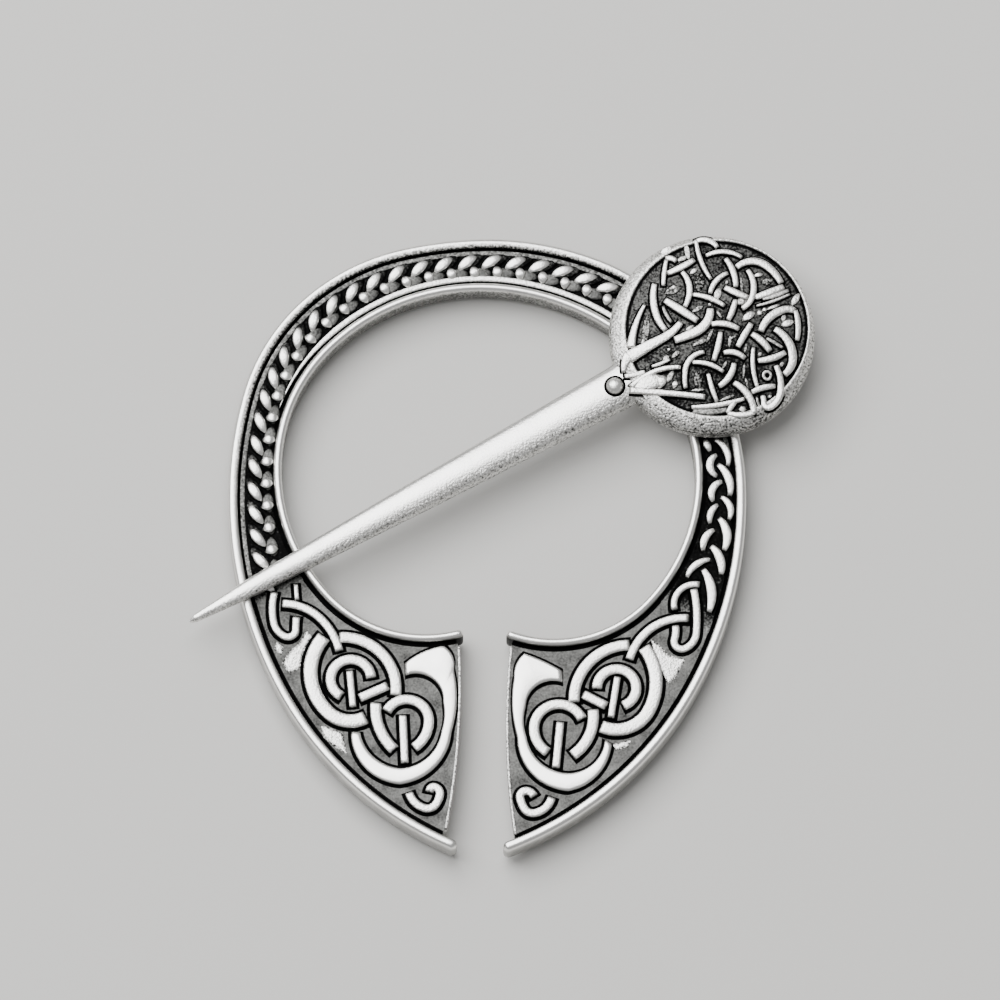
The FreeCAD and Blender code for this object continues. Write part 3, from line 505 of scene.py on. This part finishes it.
def addPlate(hoop):
    # plate between the grooves; gives its two bowed ends
    back, field = height["back"], height["field"]
    outMost = hoopLook["rimWide"] + hoopLook["grooveWide"]
    inMost = hoopLook["innerRimWide"] + hoopLook["grooveWide"]
    outside = [p[:2] for p in moved(outerLine, -outMost) if onPlate(*p[:2])]
    inside = [p[:2] for p in moved(innerLine, inMost) if onPlate(*p[:2])]
    left = [p for p in leftBow if inside[0][1] > p[1] > outside[0][1]]
    right = [p for p in rightBow if inside[-1][1] > p[1] > outside[-1][1]]
    addRaised(hoop, outside + right[::-1] + inside[::-1] + left, flatBase(0), [
        (0.08, back, 0.55, 0.3), (0.0, back + 0.08, 0.55, 0.3),
        (0.0, field - 0.06, 0.6, 0.35), (0.05, field, hoopLook["fieldTone"], 0.12),
    ])
    return left, right


def addGrooves(hoop):
    low, groove = height["back"] + 0.02, height["groove"]
    sides = ((outerLine, -1, hoopLook["rimWide"]), (innerLine, 1, hoopLook["innerRimWide"]))
    for line, side, start in sides:
        near, far = side * (start - 0.15), side * (start + hoopLook["grooveWide"] + 0.03)
        part = [p for p in line[2:-2] if onPlate(*moved([p], far)[0][:2])]
        addTube(hoop, part, [
            (near, low, 0.5, 0.3), (near, groove, 0, 0), (far, groove, 0, 0), (far, low, 0.5, 0.3),
        ])


def addRims(hoop):
    # sections (left, z, tone, grain): walls, rounded top, dark foot in the groove
    back, top, foot = height["back"], height["rimTop"], height["groove"] - 0.1
    wide = hoopLook["rimWide"]
    addTube(hoop, outerLine[1:-1], [
        (-0.08, back, 0.5, 0.3), (0.0, back + 0.1, 0.6, 0.3), (0.0, top - 1.1, 0.62, 0.3),
        (0.0, top - 0.5, 0.7, 0.3), (-0.04, top - 0.26, 0.85, 0.2), (-0.15, top - 0.09, 1.0, 0.0),
        (-0.34, top, 1.0, 0.0), (-0.52, top, 1.0, 0.35), (-0.76, top - 0.03, 0.9, 0.9),
        (-0.92, top - 0.1, 0.6, 0.8), (-0.99, top - 0.3, 0.15, 0.2), (-wide, foot, 0, 0),
        (-wide, back, 0.4, 0.4),
    ], roundEnd=hoopLook["rimEnd"], grainAt=crownShare)
    wide = hoopLook["innerRimWide"]
    addTube(hoop, innerLine[1:-1], [
        (0.08, back, 0.5, 0.3), (0.0, back + 0.1, 0.5, 0.4), (0.0, top - 1.0, 0.55, 0.45),
        (0.0, top - 0.5, 0.62, 0.4), (0.04, top - 0.26, 0.8, 0.3), (0.14, top - 0.1, 1.0, 0.0),
        (0.32, top, 1.0, 0.0), (0.5, top, 1.0, 0.0), (0.68, top - 0.07, 0.95, 0.0),
        (0.82, top - 0.22, 0.6, 0.1), (0.88, top - 0.42, 0.15, 0), (wide, foot, 0, 0),
        (wide, back, 0.4, 0.4),
    ], roundEnd=hoopLook["innerRimEnd"])


def polar(places):
    cx, cy = hoopLook["centre"]
    line = np.array(places)[:, :2]
    angle = np.degrees(np.unwrap(np.arctan2(line[:, 1] - cy, line[:, 0] - cx)))
    return angle, np.hypot(line[:, 0] - cx, line[:, 1] - cy)


def addDarkFloor(hoop):
    look, field, fieldTone = floorLook, height["field"], hoopLook["fieldTone"]
    cx, cy = hoopLook["centre"]
    outAngle, outRadius = polar(moved(outerLine, -look["outside"]))
    inAngle, inRadius = polar(moved(innerLine, look["inside"]))
    low, high = field - look["deep"], field + look["up"]
    rings = []
    for angle in np.arange(look["from"], look["to"] - 0.1, -1.0):
        edge = min(look["from"] - angle, angle - look["to"]) / look["fade"]
        tone = look["tone"] + (fieldTone - look["tone"]) * (1 - min(max(edge, 0), 1))
        far = float(np.interp(-angle, -outAngle, outRadius))
        near = float(np.interp(-angle, -inAngle, inRadius))
        c, s = math.cos(math.radians(angle)), math.sin(math.radians(angle))
        rings.append([
            (cx + r * c, cy + r * s, z, tone, look["grain"])
            for r, z in ((near, low), (near, high), (far, high), (far, low))
        ])
    addRings(hoop, rings)


def addRidges(hoop, left, right):
    away, wide, high, skirt, tone, grain = outerRidge
    line = moved(outerLine, -away)
    line = [p for p in line if p[1] > (ridgeEnds["right"] if p[0] > 0 else ridgeEnds["left"])]
    addStrand(hoop, line, wide, high, fieldBase, skirt=skirt, tone=tone, grain=grain)
    away, wide, high, skirt, tone, grain = innerRidge
    line = [p for p in moved(innerLine, away) if p[1] > ridgeEnds["inner"]]
    addStrand(hoop, line, wide, high, fieldBase, skirt=skirt, tone=tone, grain=grain, widthAt=ridgeWidth)
    # bright thin edge of each bowed end
    for bow, inward in ((left, -1), (right, 1)):
        line = []
        for i, (x, y) in enumerate(bow):
            line.append((x, y, bearing(bow[max(i - 1, 0)], bow[min(i + 1, len(bow) - 1)])))
        addStrand(hoop, moved(line, inward * hoopLook["edgeIn"]), hoopLook["edgeWide"], hoopLook["edgeHigh"],
                  fieldBase, skirt=0.0, tone=0.85, grain=1.0)


# outlines of the rubbed places on the sunk field
polishedPatches = [
    [
        (-18.1, -14.05), (-17.8, -14.57), (-18.7, -16.13), (-18.9, -17.69),
        (-19.9, -18.11), (-20.3, -17.27), (-19.6, -16.13), (-18.6, -15.3),
    ],
    [
        (-16.6, -23.83), (-14.7, -24.66), (-14.5, -25.81), (-14.2, -26.53),
        (-15.3, -25.7), (-16.2, -24.87),
    ],
    [
        (-21.1, -15.19), (-20.6, -15.71), (-20.7, -16.23), (-21.1, -15.82),
    ],
    [
        (16.4, -14.98), (17, -15.61), (17.9, -16.65), (19.5, -16.96),
        (18.5, -18.73), (18, -19.25), (17.4, -17.9), (16.7, -16.13),
    ],
    [
        (12.6, -25.81), (14.1, -25.39), (13.8, -25.81), (12.8, -26.12),
    ],
]


def addTerminals(hoop):
    high = hoopLook["strandHigh"]
    for strands in (leftStrands, rightStrands):
        for name, wide, points in strands:
            line = walk(arcRuns(points), hoopLook["strandStep"])
            if name.startswith("chain"):
                addStrand(hoop, line, wide * hoopLook["chainGain"], high, fieldBase,
                          skirt=hoopLook["chainSkirt"], widthAt=chainWidth)
            else:
                addStrand(hoop, line, wide, high, fieldBase, dip=hoopLook["strandDip"])
    for crescent in (leftCrescent, rightCrescent):
        # its first eleven points run along one side and its last nine along the other
        addBetween(hoop, crescent[:11], crescent[:11:-1], high, fieldBase)
    for patch in polishedPatches:
        addRaised(hoop, patch, fieldBase, [
            (-0.25, -0.1, 0.36, 1.0), (-0.25, 0.006, 0.36, 1.0),
            (-0.05, 0.02, 0.62, 1.0), (0.1, 0.03, 1.0, 0.7),
        ])


# rows of the plait: depth from the outer edge, further depth on the arm, start, pitch,
# length, width, turn to the hoop in degrees, bend, height, tone
plaitLook = {
    "count": 40, "lastY": 7.5,
    # the bright rows sit off-centre on the dark rows: a painted highlight on one side of each leaf and bead,
    # painted shade where the dark row shows beside it
    "rows": [
        (2.5, 0.35, 33.44, 2.408, 2.9, 1.3, 32, 0.16, 0.22, 0.18),
        (2.45, 0.35, 33.24, 2.408, 2.3, 1.06, 34, 0.1, 0.5, 1.0),
        (3.65, 0.55, 33.2, 2.298, 1.95, 1.25, 4, 0.12, 0.22, 0.32),
        (3.45, 0.55, 33.05, 2.298, 1.25, 1.05, 100, 0.0, 0.54, 1.0),
    ],
}


def addPlait(hoop):
    for depth, drift, start, pitch, long, wide, turn, bend, high, tone in plaitLook["rows"]:
        row = [moved([p], -depth - drift * (1 - crownShare(p[0], p[1])))[0] for p in outerLine]
        for x, y, h in evenPlaces(row, start, pitch, plaitLook["count"]):
            if x > 10 and y < plaitLook["lastY"]:
                continue
            a = h + math.radians(turn)
            ax, ay = math.cos(a) * long / 2, math.sin(a) * long / 2
            middle = (x - bend * math.sin(a), y + bend * math.cos(a))
            line = walk(arcRuns([(x - ax, y - ay), middle, (x + ax, y + ay)]), long / 9)
            addStrand(hoop, line, wide, high, fieldBase, skirt=0.1, tone=tone, grain=0.2, widthAt=leafWidth)


hoop = newShape()
leftEnd, rightEnd = addPlate(hoop)
addGrooves(hoop)
addRims(hoop)
addDarkFloor(hoop)
addRidges(hoop, leftEnd, rightEnd)
addTerminals(hoop)
addPlait(hoop)
makePiece("hoop_relief", hoop, castSilver, "hoop_body", ["hoop"])
print("hoop made")

# pin

# lengths along the shank are from the head's centre: place, width, thickness
pinLook = {
    "turn": 29.4, "at": (22.4, 16.2), "headRadius": 10.3,
    "faceShift": (0.5, 0.48), "faceRadius": 9.0, "faceLow": 6.1, "faceRise": 0.5, "around": 180,
    "strandGain": 1.3, "strandDip": 0.22, "strandStep": 0.14, "strandSkirt": 0.17,
    "bossRadius": 0.85, "shankStep": 0.5,
    "shank": [
        (9.3, 4.7, 2.1), (10.6, 4.35, 2.1), (32.9, 3.2, 1.7),
        (52.6, 1.8, 1.15), (59.3, 0.75, 0.75), (59.9, 0.25, 0.45),
    ],
}
shankAt, shankWide, shankThick = zip(*pinLook["shank"])
pinTurn = math.radians(pinLook["turn"] + 180)


def headWidth(share):
    return 0.72 + 0.28 * math.sin(math.pi * share)


# strands of the head's four quarters: width, tone, height, points from the head's centre
headChart = [
    (0.6, 1.0, 0.44, [(-5.75, 4.95), (-5.85, 3.2), (-5.5, 1.6), (-4.7, 0.25)]),
    (0.68, 1.0, 0.44, [(-4.6, 3.25), (-3.1, 2.25), (-1.55, 1.2)]),
    (0.32, 0.5, 0.25, [(-4.85, 2.6), (-4.5, 1.7), (-4.1, 1.1)]),
    (0.52, 1.0, 0.44, [(-2.9, 6.2), (-2.35, 5.2), (-2.25, 3.9), (-2.65, 2.7)]),
    (0.56, 1.0, 0.46, [(-4.3, 6.2), (-3.0, 6.8), (-1.85, 7.5)]),
    (0.4, 1.0, 0.42, [(-4.85, 5.0), (-4.75, 6.3), (-4.55, 7.5)]),
    (0.46, 1.0, 0.42, [(-4.5, 7.75), (-4.1, 7.75), (-3.65, 7.5)]),
    (0.4, 1.0, 0.44, [(-1.55, 9.55), (-1.2, 7.8), (-0.15, 5.6)]),
    (0.48, 1.0, 0.4, [(-1.4, 9.6), (-0.5, 9.65), (0.5, 9.0)]),
    (0.42, 1.0, 0.42, [(-0.45, 8.05), (1.2, 8.42), (2.9, 7.9)]),
    (0.52, 1.0, 0.44, [(1.45, 7.6), (2.1, 6.4), (2.4, 4.8)]),
    (0.45, 1.0, 0.44, [(-0.15, 4.1), (0.45, 5.3), (1.5, 6.1)]),
    (0.58, 1.0, 0.46, [(1.4, 4.55), (2.3, 4.1), (3.5, 3.6)]),
    (0.46, 1.0, 0.44, [(-1.75, 3.85), (-0.3, 3.5), (1.15, 2.75)]),
    (0.8, 1.0, 0.46, [(-0.15, 2.25), (-0.55, 0.9), (-1.7, -0.1), (-3.6, -0.85)]),
    (0.5, 1.0, 0.44, [(2.35, 3.2), (2.1, 2.3), (1.7, 1.3)]),
    (0.54, 1.0, 0.46, [(0.1, 0.75), (1.2, 0.78), (2.6, 0.3)]),
    (0.66, 1.0, 0.44, [(2.6, 6.85), (3.8, 7.4), (5.4, 7.0), (6.9, 5.25)]),
    (0.52, 1.0, 0.44, [(3.65, 6.4), (4.15, 5.2), (4.0, 3.5), (3.15, 2.45)]),
    (0.6, 1.0, 0.4, [(4.5, 3.65), (5.8, 4.15), (7.1, 4.75)]),
    (0.4, 0.6, 0.28, [(5.2, 3.5), (6.4, 3.85), (7.6, 4.4)]),
    (0.24, 0.8, 0.3, [(4.6, 2.75), (6.3, 3.3), (7.7, 3.95)]),
    (0.68, 1.0, 0.44, [(4.95, 0.15), (5.7, 1.4), (7.2, 2.35), (8.2, 2.3)]),
    (0.46, 1.0, 0.44, [(8.4, 2.2), (8.62, 1.0), (8.55, -0.7)]),
    (0.7, 1.0, 0.46, [(6.4, 0.25), (7.6, -0.9), (8.1, -2.6), (7.35, -4.3)]),
    (0.55, 1.0, 0.44, [(3.9, 0.75), (3.3, -0.3), (2.65, -1.5)]),
    (0.6, 1.0, 0.46, [(4.1, -0.3), (5.0, -1.0), (5.75, -1.9)]),
    (0.3, 0.5, 0.22, [(5.6, -0.7), (6.3, -1.1), (7.0, -1.55)]),
    (0.56, 1.0, 0.44, [(4.75, -3.0), (6.0, -2.75), (7.25, -2.15)]),
    (0.4, 1.0, 0.42, [(4.15, -1.8), (4.1, -3.6), (4.55, -5.7)]),
    (0.56, 1.0, 0.46, [(6.45, -3.6), (6.85, -4.9), (6.85, -6.2), (5.85, -7.75), (5.2, -7.4),
                       (5.1, -6.7)]),
    (0.5, 1.0, 0.44, [(4.1, -6.2), (4.9, -5.85), (6.2, -5.6)]),
    (0.26, 0.75, 0.3, [(5.9, -4.5), (5.5, -4.1), (5.15, -4.5), (5.5, -4.9), (5.85, -4.6)]),
    (0.46, 1.0, 0.44, [(-0.9, -2.15), (-1.9, -2.6), (-2.65, -3.9), (-2.65, -5.7)]),
    (0.42, 1.0, 0.44, [(-1.8, -3.2), (-0.5, -3.35), (1.05, -4.1)]),
    (0.42, 1.0, 0.44, [(-0.35, -4.5), (-0.05, -5.7), (0.45, -7.1)]),
    (0.55, 1.0, 0.46, [(2.2, -3.4), (1.85, -4.5), (0.8, -5.6)]),
    (0.6, 1.0, 0.46, [(2.3, -5.35), (3.5, -6.4), (4.2, -8.3)]),
    (0.42, 1.0, 0.4, [(-1.9, -7.75), (0.4, -7.6), (3.1, -6.95)]),
    (0.5, 0.45, 0.2, [(-1.8, -8.1), (0.2, -8.2), (1.4, -8.0)]),
    (0.42, 1.0, 0.4, [(2.3, -7.3), (1.9, -7.8), (1.6, -8.3)]),
    (0.46, 1.0, 0.4, [(1.7, -8.4), (3.0, -8.55), (4.2, -8.3)]),
    (0.5, 1.0, 0.44, [(1.3, -2.2), (2.3, -2.2), (3.2, -2.7)]),
    (0.5, 1.0, 0.46, [(0.85, -0.2), (0.6, -1.6), (0.2, -2.9)]),
    (0.45, 0.85, 0.3, [(-8.6, -4.5), (-7.7, -4.35), (-6.8, -4.1)]),
    (0.3, 0.8, 0.28, [(-5.9, -3.5), (-5.1, -3.25), (-4.3, -2.9)]),
]
# strands that taper: width at the first and last point, height, points
headTapers = [
    (0.95, 0.34, 0.5, [(-8.1, -1.6), (-7.75, 0.4), (-6.7, 2.9)]),
    (1.45, 0.66, 0.52, [(-8.35, -2.6), (-6.9, -1.75), (-4.9, -0.65), (-3.1, 1.0)]),
    (0.4, 1.3, 0.5, [(-8.85, -4.1), (-8.7, -3.2), (-8.2, -2.3)]),
    (0.6, 0.5, 0.5, [(-8.1, -5.7), (-6.4, -4.4), (-3.15, -3.7)]),
    (0.7, 0.6, 0.5, [(-8.2, -6.0), (-4.8, -6.3), (-0.7, -6.75)]),
]
# small lumps left between the strands: place, length, width, turn, tone, height
headLumps = [
    (-6.35, -5.25, 3.5, 1.75, 14, 1.0, 0.56), (-5.1, -5.15, 1.5, 1.1, 60, 1.0, 0.48),
    (-6.6, 0.3, 3.0, 0.8, 85, 0.36, 0.15), (-6.9, -1.0, 0.9, 0.4, 75, 0.75, 0.2),
    (-4.5, 8.65, 1.4, 0.7, 30, 1.0, 0.2), (-2.45, 8.5, 1.7, 0.6, 100, 0.7, 0.2),
    (-2.9, 7.75, 1.2, 0.5, 22, 0.7, 0.2), (-3.9, 4.4, 1.6, 0.9, 20, 0.4, 0.12),
    (-3.8, 4.7, 0.6, 0.4, 0, 0.9, 0.2), (-1.8, 6.4, 0.9, 0.5, 40, 0.8, 0.18),
    (-1.2, 5.2, 1.8, 1.0, 80, 0.3, 0.1), (-0.2, 2.85, 0.4, 0.35, 60, 1.0, 0.2),
    (-1.4, 2.4, 1.2, 0.5, 30, 0.5, 0.15), (-2.2, 0.4, 1.0, 0.4, 30, 0.6, 0.18),
    (0.6, 3.95, 1.3, 0.8, 75, 0.75, 0.22), (1.5, 5.2, 0.6, 0.3, 80, 0.6, 0.15),
    (3.0, 3.2, 1.2, 0.8, 20, 0.6, 0.2), (3.0, 4.9, 1.8, 0.3, 95, 0.4, 0.12),
    (4.7, 6.0, 0.9, 0.45, 10, 1.0, 0.25), (5.6, 5.4, 1.2, 0.8, 20, 0.38, 0.12),
    (6.2, 2.65, 1.3, 0.35, 22, 0.9, 0.22), (5.3, 2.35, 0.5, 0.4, 20, 1.0, 0.2),
    (4.8, 2.0, 0.6, 0.5, 40, 0.9, 0.22), (3.7, 1.65, 1.5, 0.8, 35, 1.0, 0.32),
    (8.4, 3.5, 1.4, 0.7, 60, 0.9, 0.2), (7.6, 0.95, 1.3, 0.75, 20, 1.0, 0.3),
    (7.2, 1.5, 0.8, 0.5, 70, 0.6, 0.2), (4.6, 0.5, 0.8, 0.4, 70, 0.3, 0.15),
    (0.75, 1.8, 0.9, 0.3, 125, 0.6, 0.15), (1.8, -1.0, 1.3, 0.4, 85, 0.45, 0.15),
    (2.1, -0.6, 0.8, 0.25, 35, 0.5, 0.15), (3.4, -1.6, 1.0, 0.3, 75, 0.5, 0.15),
    (4.8, -2.3, 0.5, 0.4, 60, 0.7, 0.18), (3.2, -4.0, 1.6, 0.3, 85, 0.45, 0.14),
    (3.5, -5.3, 1.2, 0.3, 105, 0.45, 0.14), (7.0, -3.3, 0.6, 0.4, 60, 0.6, 0.18),
    (5.8, -6.6, 0.4, 0.3, 40, 0.7, 0.18), (3.05, -7.95, 0.7, 0.6, 0, 0.8, 0.25),
    (1.3, -3.4, 0.9, 0.3, 60, 0.55, 0.16), (1.5, -6.8, 1.6, 0.3, 22, 0.55, 0.15),
    (-4.2, -4.6, 1.4, 0.6, 60, 0.55, 0.18), (-3.7, -5.4, 0.8, 0.6, 70, 0.95, 0.25),
    (-1.4, -5.0, 1.8, 0.9, 95, 0.3, 0.12), (-1.4, -6.0, 1.3, 0.3, 5, 0.7, 0.2),
    (-4.3, -1.8, 0.4, 0.3, 60, 0.9, 0.2), (-3.6, -2.3, 1.0, 0.5, 40, 0.6, 0.18),
    (-4.6, -2.7, 0.8, 0.5, 40, 0.8, 0.2), (-1.2, -1.1, 1.6, 0.5, 25, 0.5, 0.18),
    (-0.2, -0.4, 1.6, 0.35, 65, 0.45, 0.16), (4.6, -7.2, 1.2, 0.3, 105, 0.5, 0.15),
]


def pinPlace(x, y):
    # from the head's centre along the shank to the hoop's directions
    cx, cy = pinLook["at"]
    c, s = math.cos(pinTurn), math.sin(pinTurn)
    return cx + x * c - y * s, cy + x * s + y * c


def faceRise(r):
    return pinLook["faceLow"] + pinLook["faceRise"] * (1 - min(r / pinLook["faceRadius"], 1) ** 2)


def domeAt(x, y):
    cx, cy = pinLook["at"]
    sx, sy = pinLook["faceShift"]
    return faceRise(math.hypot(x - cx - sx, y - cy - sy))


def addHead(pin):
    # turned about its own axis: radius, height, tone, grain, share of the face's shift
    back = height["pinBack"]
    rows = [
        (0.3, 5.1, 0.5, 0.5, 0), (9.0, 5.1, 0.4, 0.5, 0), (9.0, 4.06, 0.5, 0.5, 0),
        (9.08, back, 0.6, 0.4, 0), (10.15, back, 0.6, 0.5, 0), (10.3, back + 0.14, 0.6, 0.8, 0),
        (10.3, 5.35, 0.62, 1, 0), (10.22, 5.62, 0.72, 1, 0), (10.05, 5.85, 0.8, 1, 0.05),
        (9.75, 6.08, 0.78, 1, 0.3), (9.5, 6.26, 0.82, 1, 0.7), (9.28, 6.34, 1.0, 0.8, 1),
        (9.18, 6.33, 0.8, 0.5, 1), (9.07, 6.2, 0.15, 0, 1), (9.0, 6.1, 0.0, 0.1, 1),
    ]
    rows += [(r, faceRise(r), 0.24, 0.25, 1) for r in (8.75, 7.2, 5.6, 4, 2.4, 1, 0.3)]
    cx, cy = pinLook["at"]
    sx, sy = pinLook["faceShift"]
    rings = []
    for r, z, tone, grain, shift in rows:
        ring = []
        for k in range(pinLook["around"]):
            a = 2 * math.pi * k / pinLook["around"]
            # painted shade: the lower side of the rim is darker
            shade = 0.22 * grain * max(-math.sin(a - 0.2), 0) ** 2 if z > 5 else 0
            x, y = cx + sx * shift + r * math.cos(a), cy + sy * shift + r * math.sin(a)
            ring.append((x, y, z, tone - shade, grain))
        rings.append(ring)
    addRings(pin, rings)


def addHeadStrands(pin):
    look = pinLook
    cx, cy = look["at"]
    for wide, tone, thick, points in headChart:
        line = [(x + cx, y + cy, h) for x, y, h in walk(arcRuns(points), look["strandStep"])]
        addStrand(pin, line, wide * look["strandGain"], thick, domeAt, skirt=look["strandSkirt"],
                  tone=tone, grain=0.4, widthAt=headWidth, dip=look["strandDip"])
    for first, last, thick, points in headTapers:
        line = [(x + cx, y + cy, h) for x, y, h in walk(arcRuns(points), look["strandStep"])]
        most = max(first, last)
        addStrand(pin, line, most, thick, domeAt, skirt=look["strandSkirt"], grain=0.4,
                  widthAt=lambda share: (first + (last - first) * share) / most)
    for x, y, long, wide, turnBy, tone, rise in headLumps:
        a = math.radians(turnBy)
        line = []
        for t in np.linspace(-long / 2, long / 2, 9):
            line.append((cx + x + t * math.cos(a), cy + y + t * math.sin(a), a))
        addStrand(pin, line, wide, rise, domeAt, skirt=0.03, tone=tone, grain=0.6, widthAt=leafWidth)


def addShank(pin):
    # flat back, upright sides and an arched top, rougher and darker along its lower edge
    body = np.arange(shankAt[0], shankAt[-2], pinLook["shankStep"])
    tip = np.linspace(shankAt[-2], shankAt[-1], 5)
    rings = []
    for x in np.concatenate([body, tip]):
        half, thick = np.interp(x, shankAt, shankWide) / 2, np.interp(x, shankAt, shankThick)
        side = thick * 0.5
        outline = [(-0.94 * half, 0.0, 0.6, 0.5), (-half, 0.06 * side, 0.6, 0.5), (-half, side, 0.85, 0.4)]
        for k in range(1, 12):
            a = math.pi * k / 12
            y = -half * math.cos(a)
            lowerBand = min(max((y / half - 0.4) * 4, 0), 1)
            up = side + (thick - side) * math.sin(a) ** 0.7
            outline.append((y, up, 1.0 - 0.22 * lowerBand, 0.15 + 0.85 * lowerBand))
        outline += [(half, side, 0.8, 1.0), (half, 0.06, 0.6, 0.8), (0.94 * half, 0.0, 0.6, 0.5)]
        ring = []
        for y, z, tone, grain in outline:
            ring.append((*pinPlace(x, y), height["pinBack"] + z, tone, grain))
        rings.append(ring)
    addRings(pin, rings)


def shankTop(x, y):
    half, thick = np.interp(x, shankAt, shankWide) / 2, np.interp(x, shankAt, shankThick)
    return height["pinBack"] + thick * 0.5 + thick * 0.5 * max(1 - (y / half) ** 2, 0) ** 0.35


def addBoss(pin):
    # dome in a dark ring: radius, height, tone
    bossX = pinLook["headRadius"] + pinLook["bossRadius"]
    rows = [
        (1.12, -0.15, 0.9), (1.1, 0.02, 0.2), (1.02, 0.03, 0), (0.88, 0.03, 0),
        (0.86, 0.14, 0.6), (0.76, 0.38, 1), (0.52, 0.58, 1), (0.22, 0.68, 1),
    ]
    rings = []
    for r, up, tone in rows:
        ring = []
        for k in range(36):
            x, y = bossX + r * math.cos(math.pi * k / 18), r * math.sin(math.pi * k / 18)
            flat = shankTop(x, y) if r > 0.8 else shankTop(bossX, 0)
            ring.append((*pinPlace(x, y), flat + up, tone, 0.2))
        rings.append(ring)
    addRings(pin, rings)


# two ears on the back of the head, with a hole each, either side of the hinge
earLook = {
    "turn": 35.4, "out": 28.4, "z": 4.1,
    "near": 1.82, "thick": 0.8, "radius": 0.95, "hole": 0.52, "roof": 5.25,
}


def earPlace(out, along):
    # out from the hoop's centre and along the hinge
    cx, cy = hoopLook["centre"]
    c, s = math.cos(math.radians(earLook["turn"])), math.sin(math.radians(earLook["turn"]))
    return cx + out * c - along * s, cy + out * s + along * c


def earReach(c, s, outer):
    if not outer:
        return earLook["hole"]
    if s > 0:
        return min(earLook["radius"] / max(abs(c), 1e-6), (earLook["roof"] - earLook["z"]) / s)
    return earLook["radius"]


def addEars(pin):
    near, far = earLook["near"], earLook["near"] + earLook["thick"]
    for side in (1, -1):
        loops = []
        for outer, along in ((True, near), (True, far), (False, far), (False, near)):
            ring = []
            for k in range(32):
                c, s = math.cos(math.pi * k / 16), math.sin(math.pi * k / 16)
                reach = earReach(c, s, outer)
                x, y = earPlace(earLook["out"] + reach * c, side * along)
                ring.append((x, y, earLook["z"] + reach * s, 0.5, 0.4))
            loops.append(ring)
        addRings(pin, loops, closedAlong=True)


pin = newShape()
addHead(pin)
addHeadStrands(pin)
addShank(pin)
addBoss(pin)
addEars(pin)
makePiece("pin_relief", pin, castSilver, "pin_body", ["pin"])
print("pin made")

# loop on the hoop's back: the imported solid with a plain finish
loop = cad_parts["back_loop"]
loop.data.materials.clear()
loop.data.materials.append(plainSilver)
print("loop finished")

# floor, light, camera

studio = {
    "floor": "#d6d5d2", "floorRough": 0.9, "floorSize": 3.0, "floorDrop": 0.00001,
    "fibreScale": 900.0, "fibreDetail": 3.0, "fibreDeep": 0.00005, "fibreShare": 0.3,
    "elevation": 74.0, "distance": 3.0, "lens": 1080.0, "target": (1.2, -0.5, 3.85),
    "keyFrom": (-0.30, 0.30, 0.80), "keySize": 0.9, "keyWatts": 15.0,
    "world": "#b4b4b4", "worldStrength": 0.8,
}
bpy.ops.object.select_all(action="DESELECT")
bpy.ops.mesh.primitive_plane_add(size=studio["floorSize"], location=(0, 0, -studio["floorDrop"]))
floor = bpy.context.object
floor.name = "floor"
floorSkin = bpy.data.materials.new("pale_matt_board")
floorSkin.use_nodes = True
tree = floorSkin.node_tree
tree.nodes.clear()
place = addNode(tree, "ShaderNodeTexCoord").outputs["Object"]
fibre = addNode(tree, "ShaderNodeTexNoise",
                {"Scale": studio["fibreScale"], "Detail": studio["fibreDetail"]}, {"Vector": place})
bump = addNode(tree, "ShaderNodeBump",
               {"Distance": studio["fibreDeep"], "Strength": studio["fibreShare"]},
               {"Height": fibre.outputs["Fac"]})
skin = addNode(tree, "ShaderNodeBsdfPrincipled",
               {"Base Color": linear(studio["floor"]), "Roughness": studio["floorRough"]},
               {"Normal": bump.outputs["Normal"]})
addNode(tree, "ShaderNodeOutputMaterial", None, {"Surface": skin.outputs["BSDF"]})
floor.data.materials.append(floorSkin)

world = bpy.data.worlds.new("studio")
bpy.context.scene.world = world
world.use_nodes = True
world.node_tree.nodes["Background"].inputs["Color"].default_value = linear(studio["world"])
world.node_tree.nodes["Background"].inputs["Strength"].default_value = studio["worldStrength"]

keyData = bpy.data.lights.new("key", "AREA")
keyData.shape = "SQUARE"
keyData.size = studio["keySize"]
keyData.energy = studio["keyWatts"]
key = bpy.data.objects.new("key", keyData)
key.location = studio["keyFrom"]
key.rotation_euler = (-key.location).to_track_quat("-Z", "Y").to_euler()
bpy.context.scene.collection.objects.link(key)

cameraData = bpy.data.cameras.new("camera")
cameraData.lens = studio["lens"]
cameraData.sensor_width = 36.0
cameraData.clip_start = 0.01
camera = bpy.data.objects.new("camera", cameraData)
tilt = math.radians(studio["elevation"])
aim = [c * mm for c in studio["target"]]
far = studio["distance"]
camera.location = (aim[0], aim[1] - far * math.cos(tilt), aim[2] + far * math.sin(tilt))
camera.rotation_euler = (math.pi / 2 - tilt, 0, 0)
bpy.context.scene.collection.objects.link(camera)
bpy.context.scene.camera = camera
print("studio set")
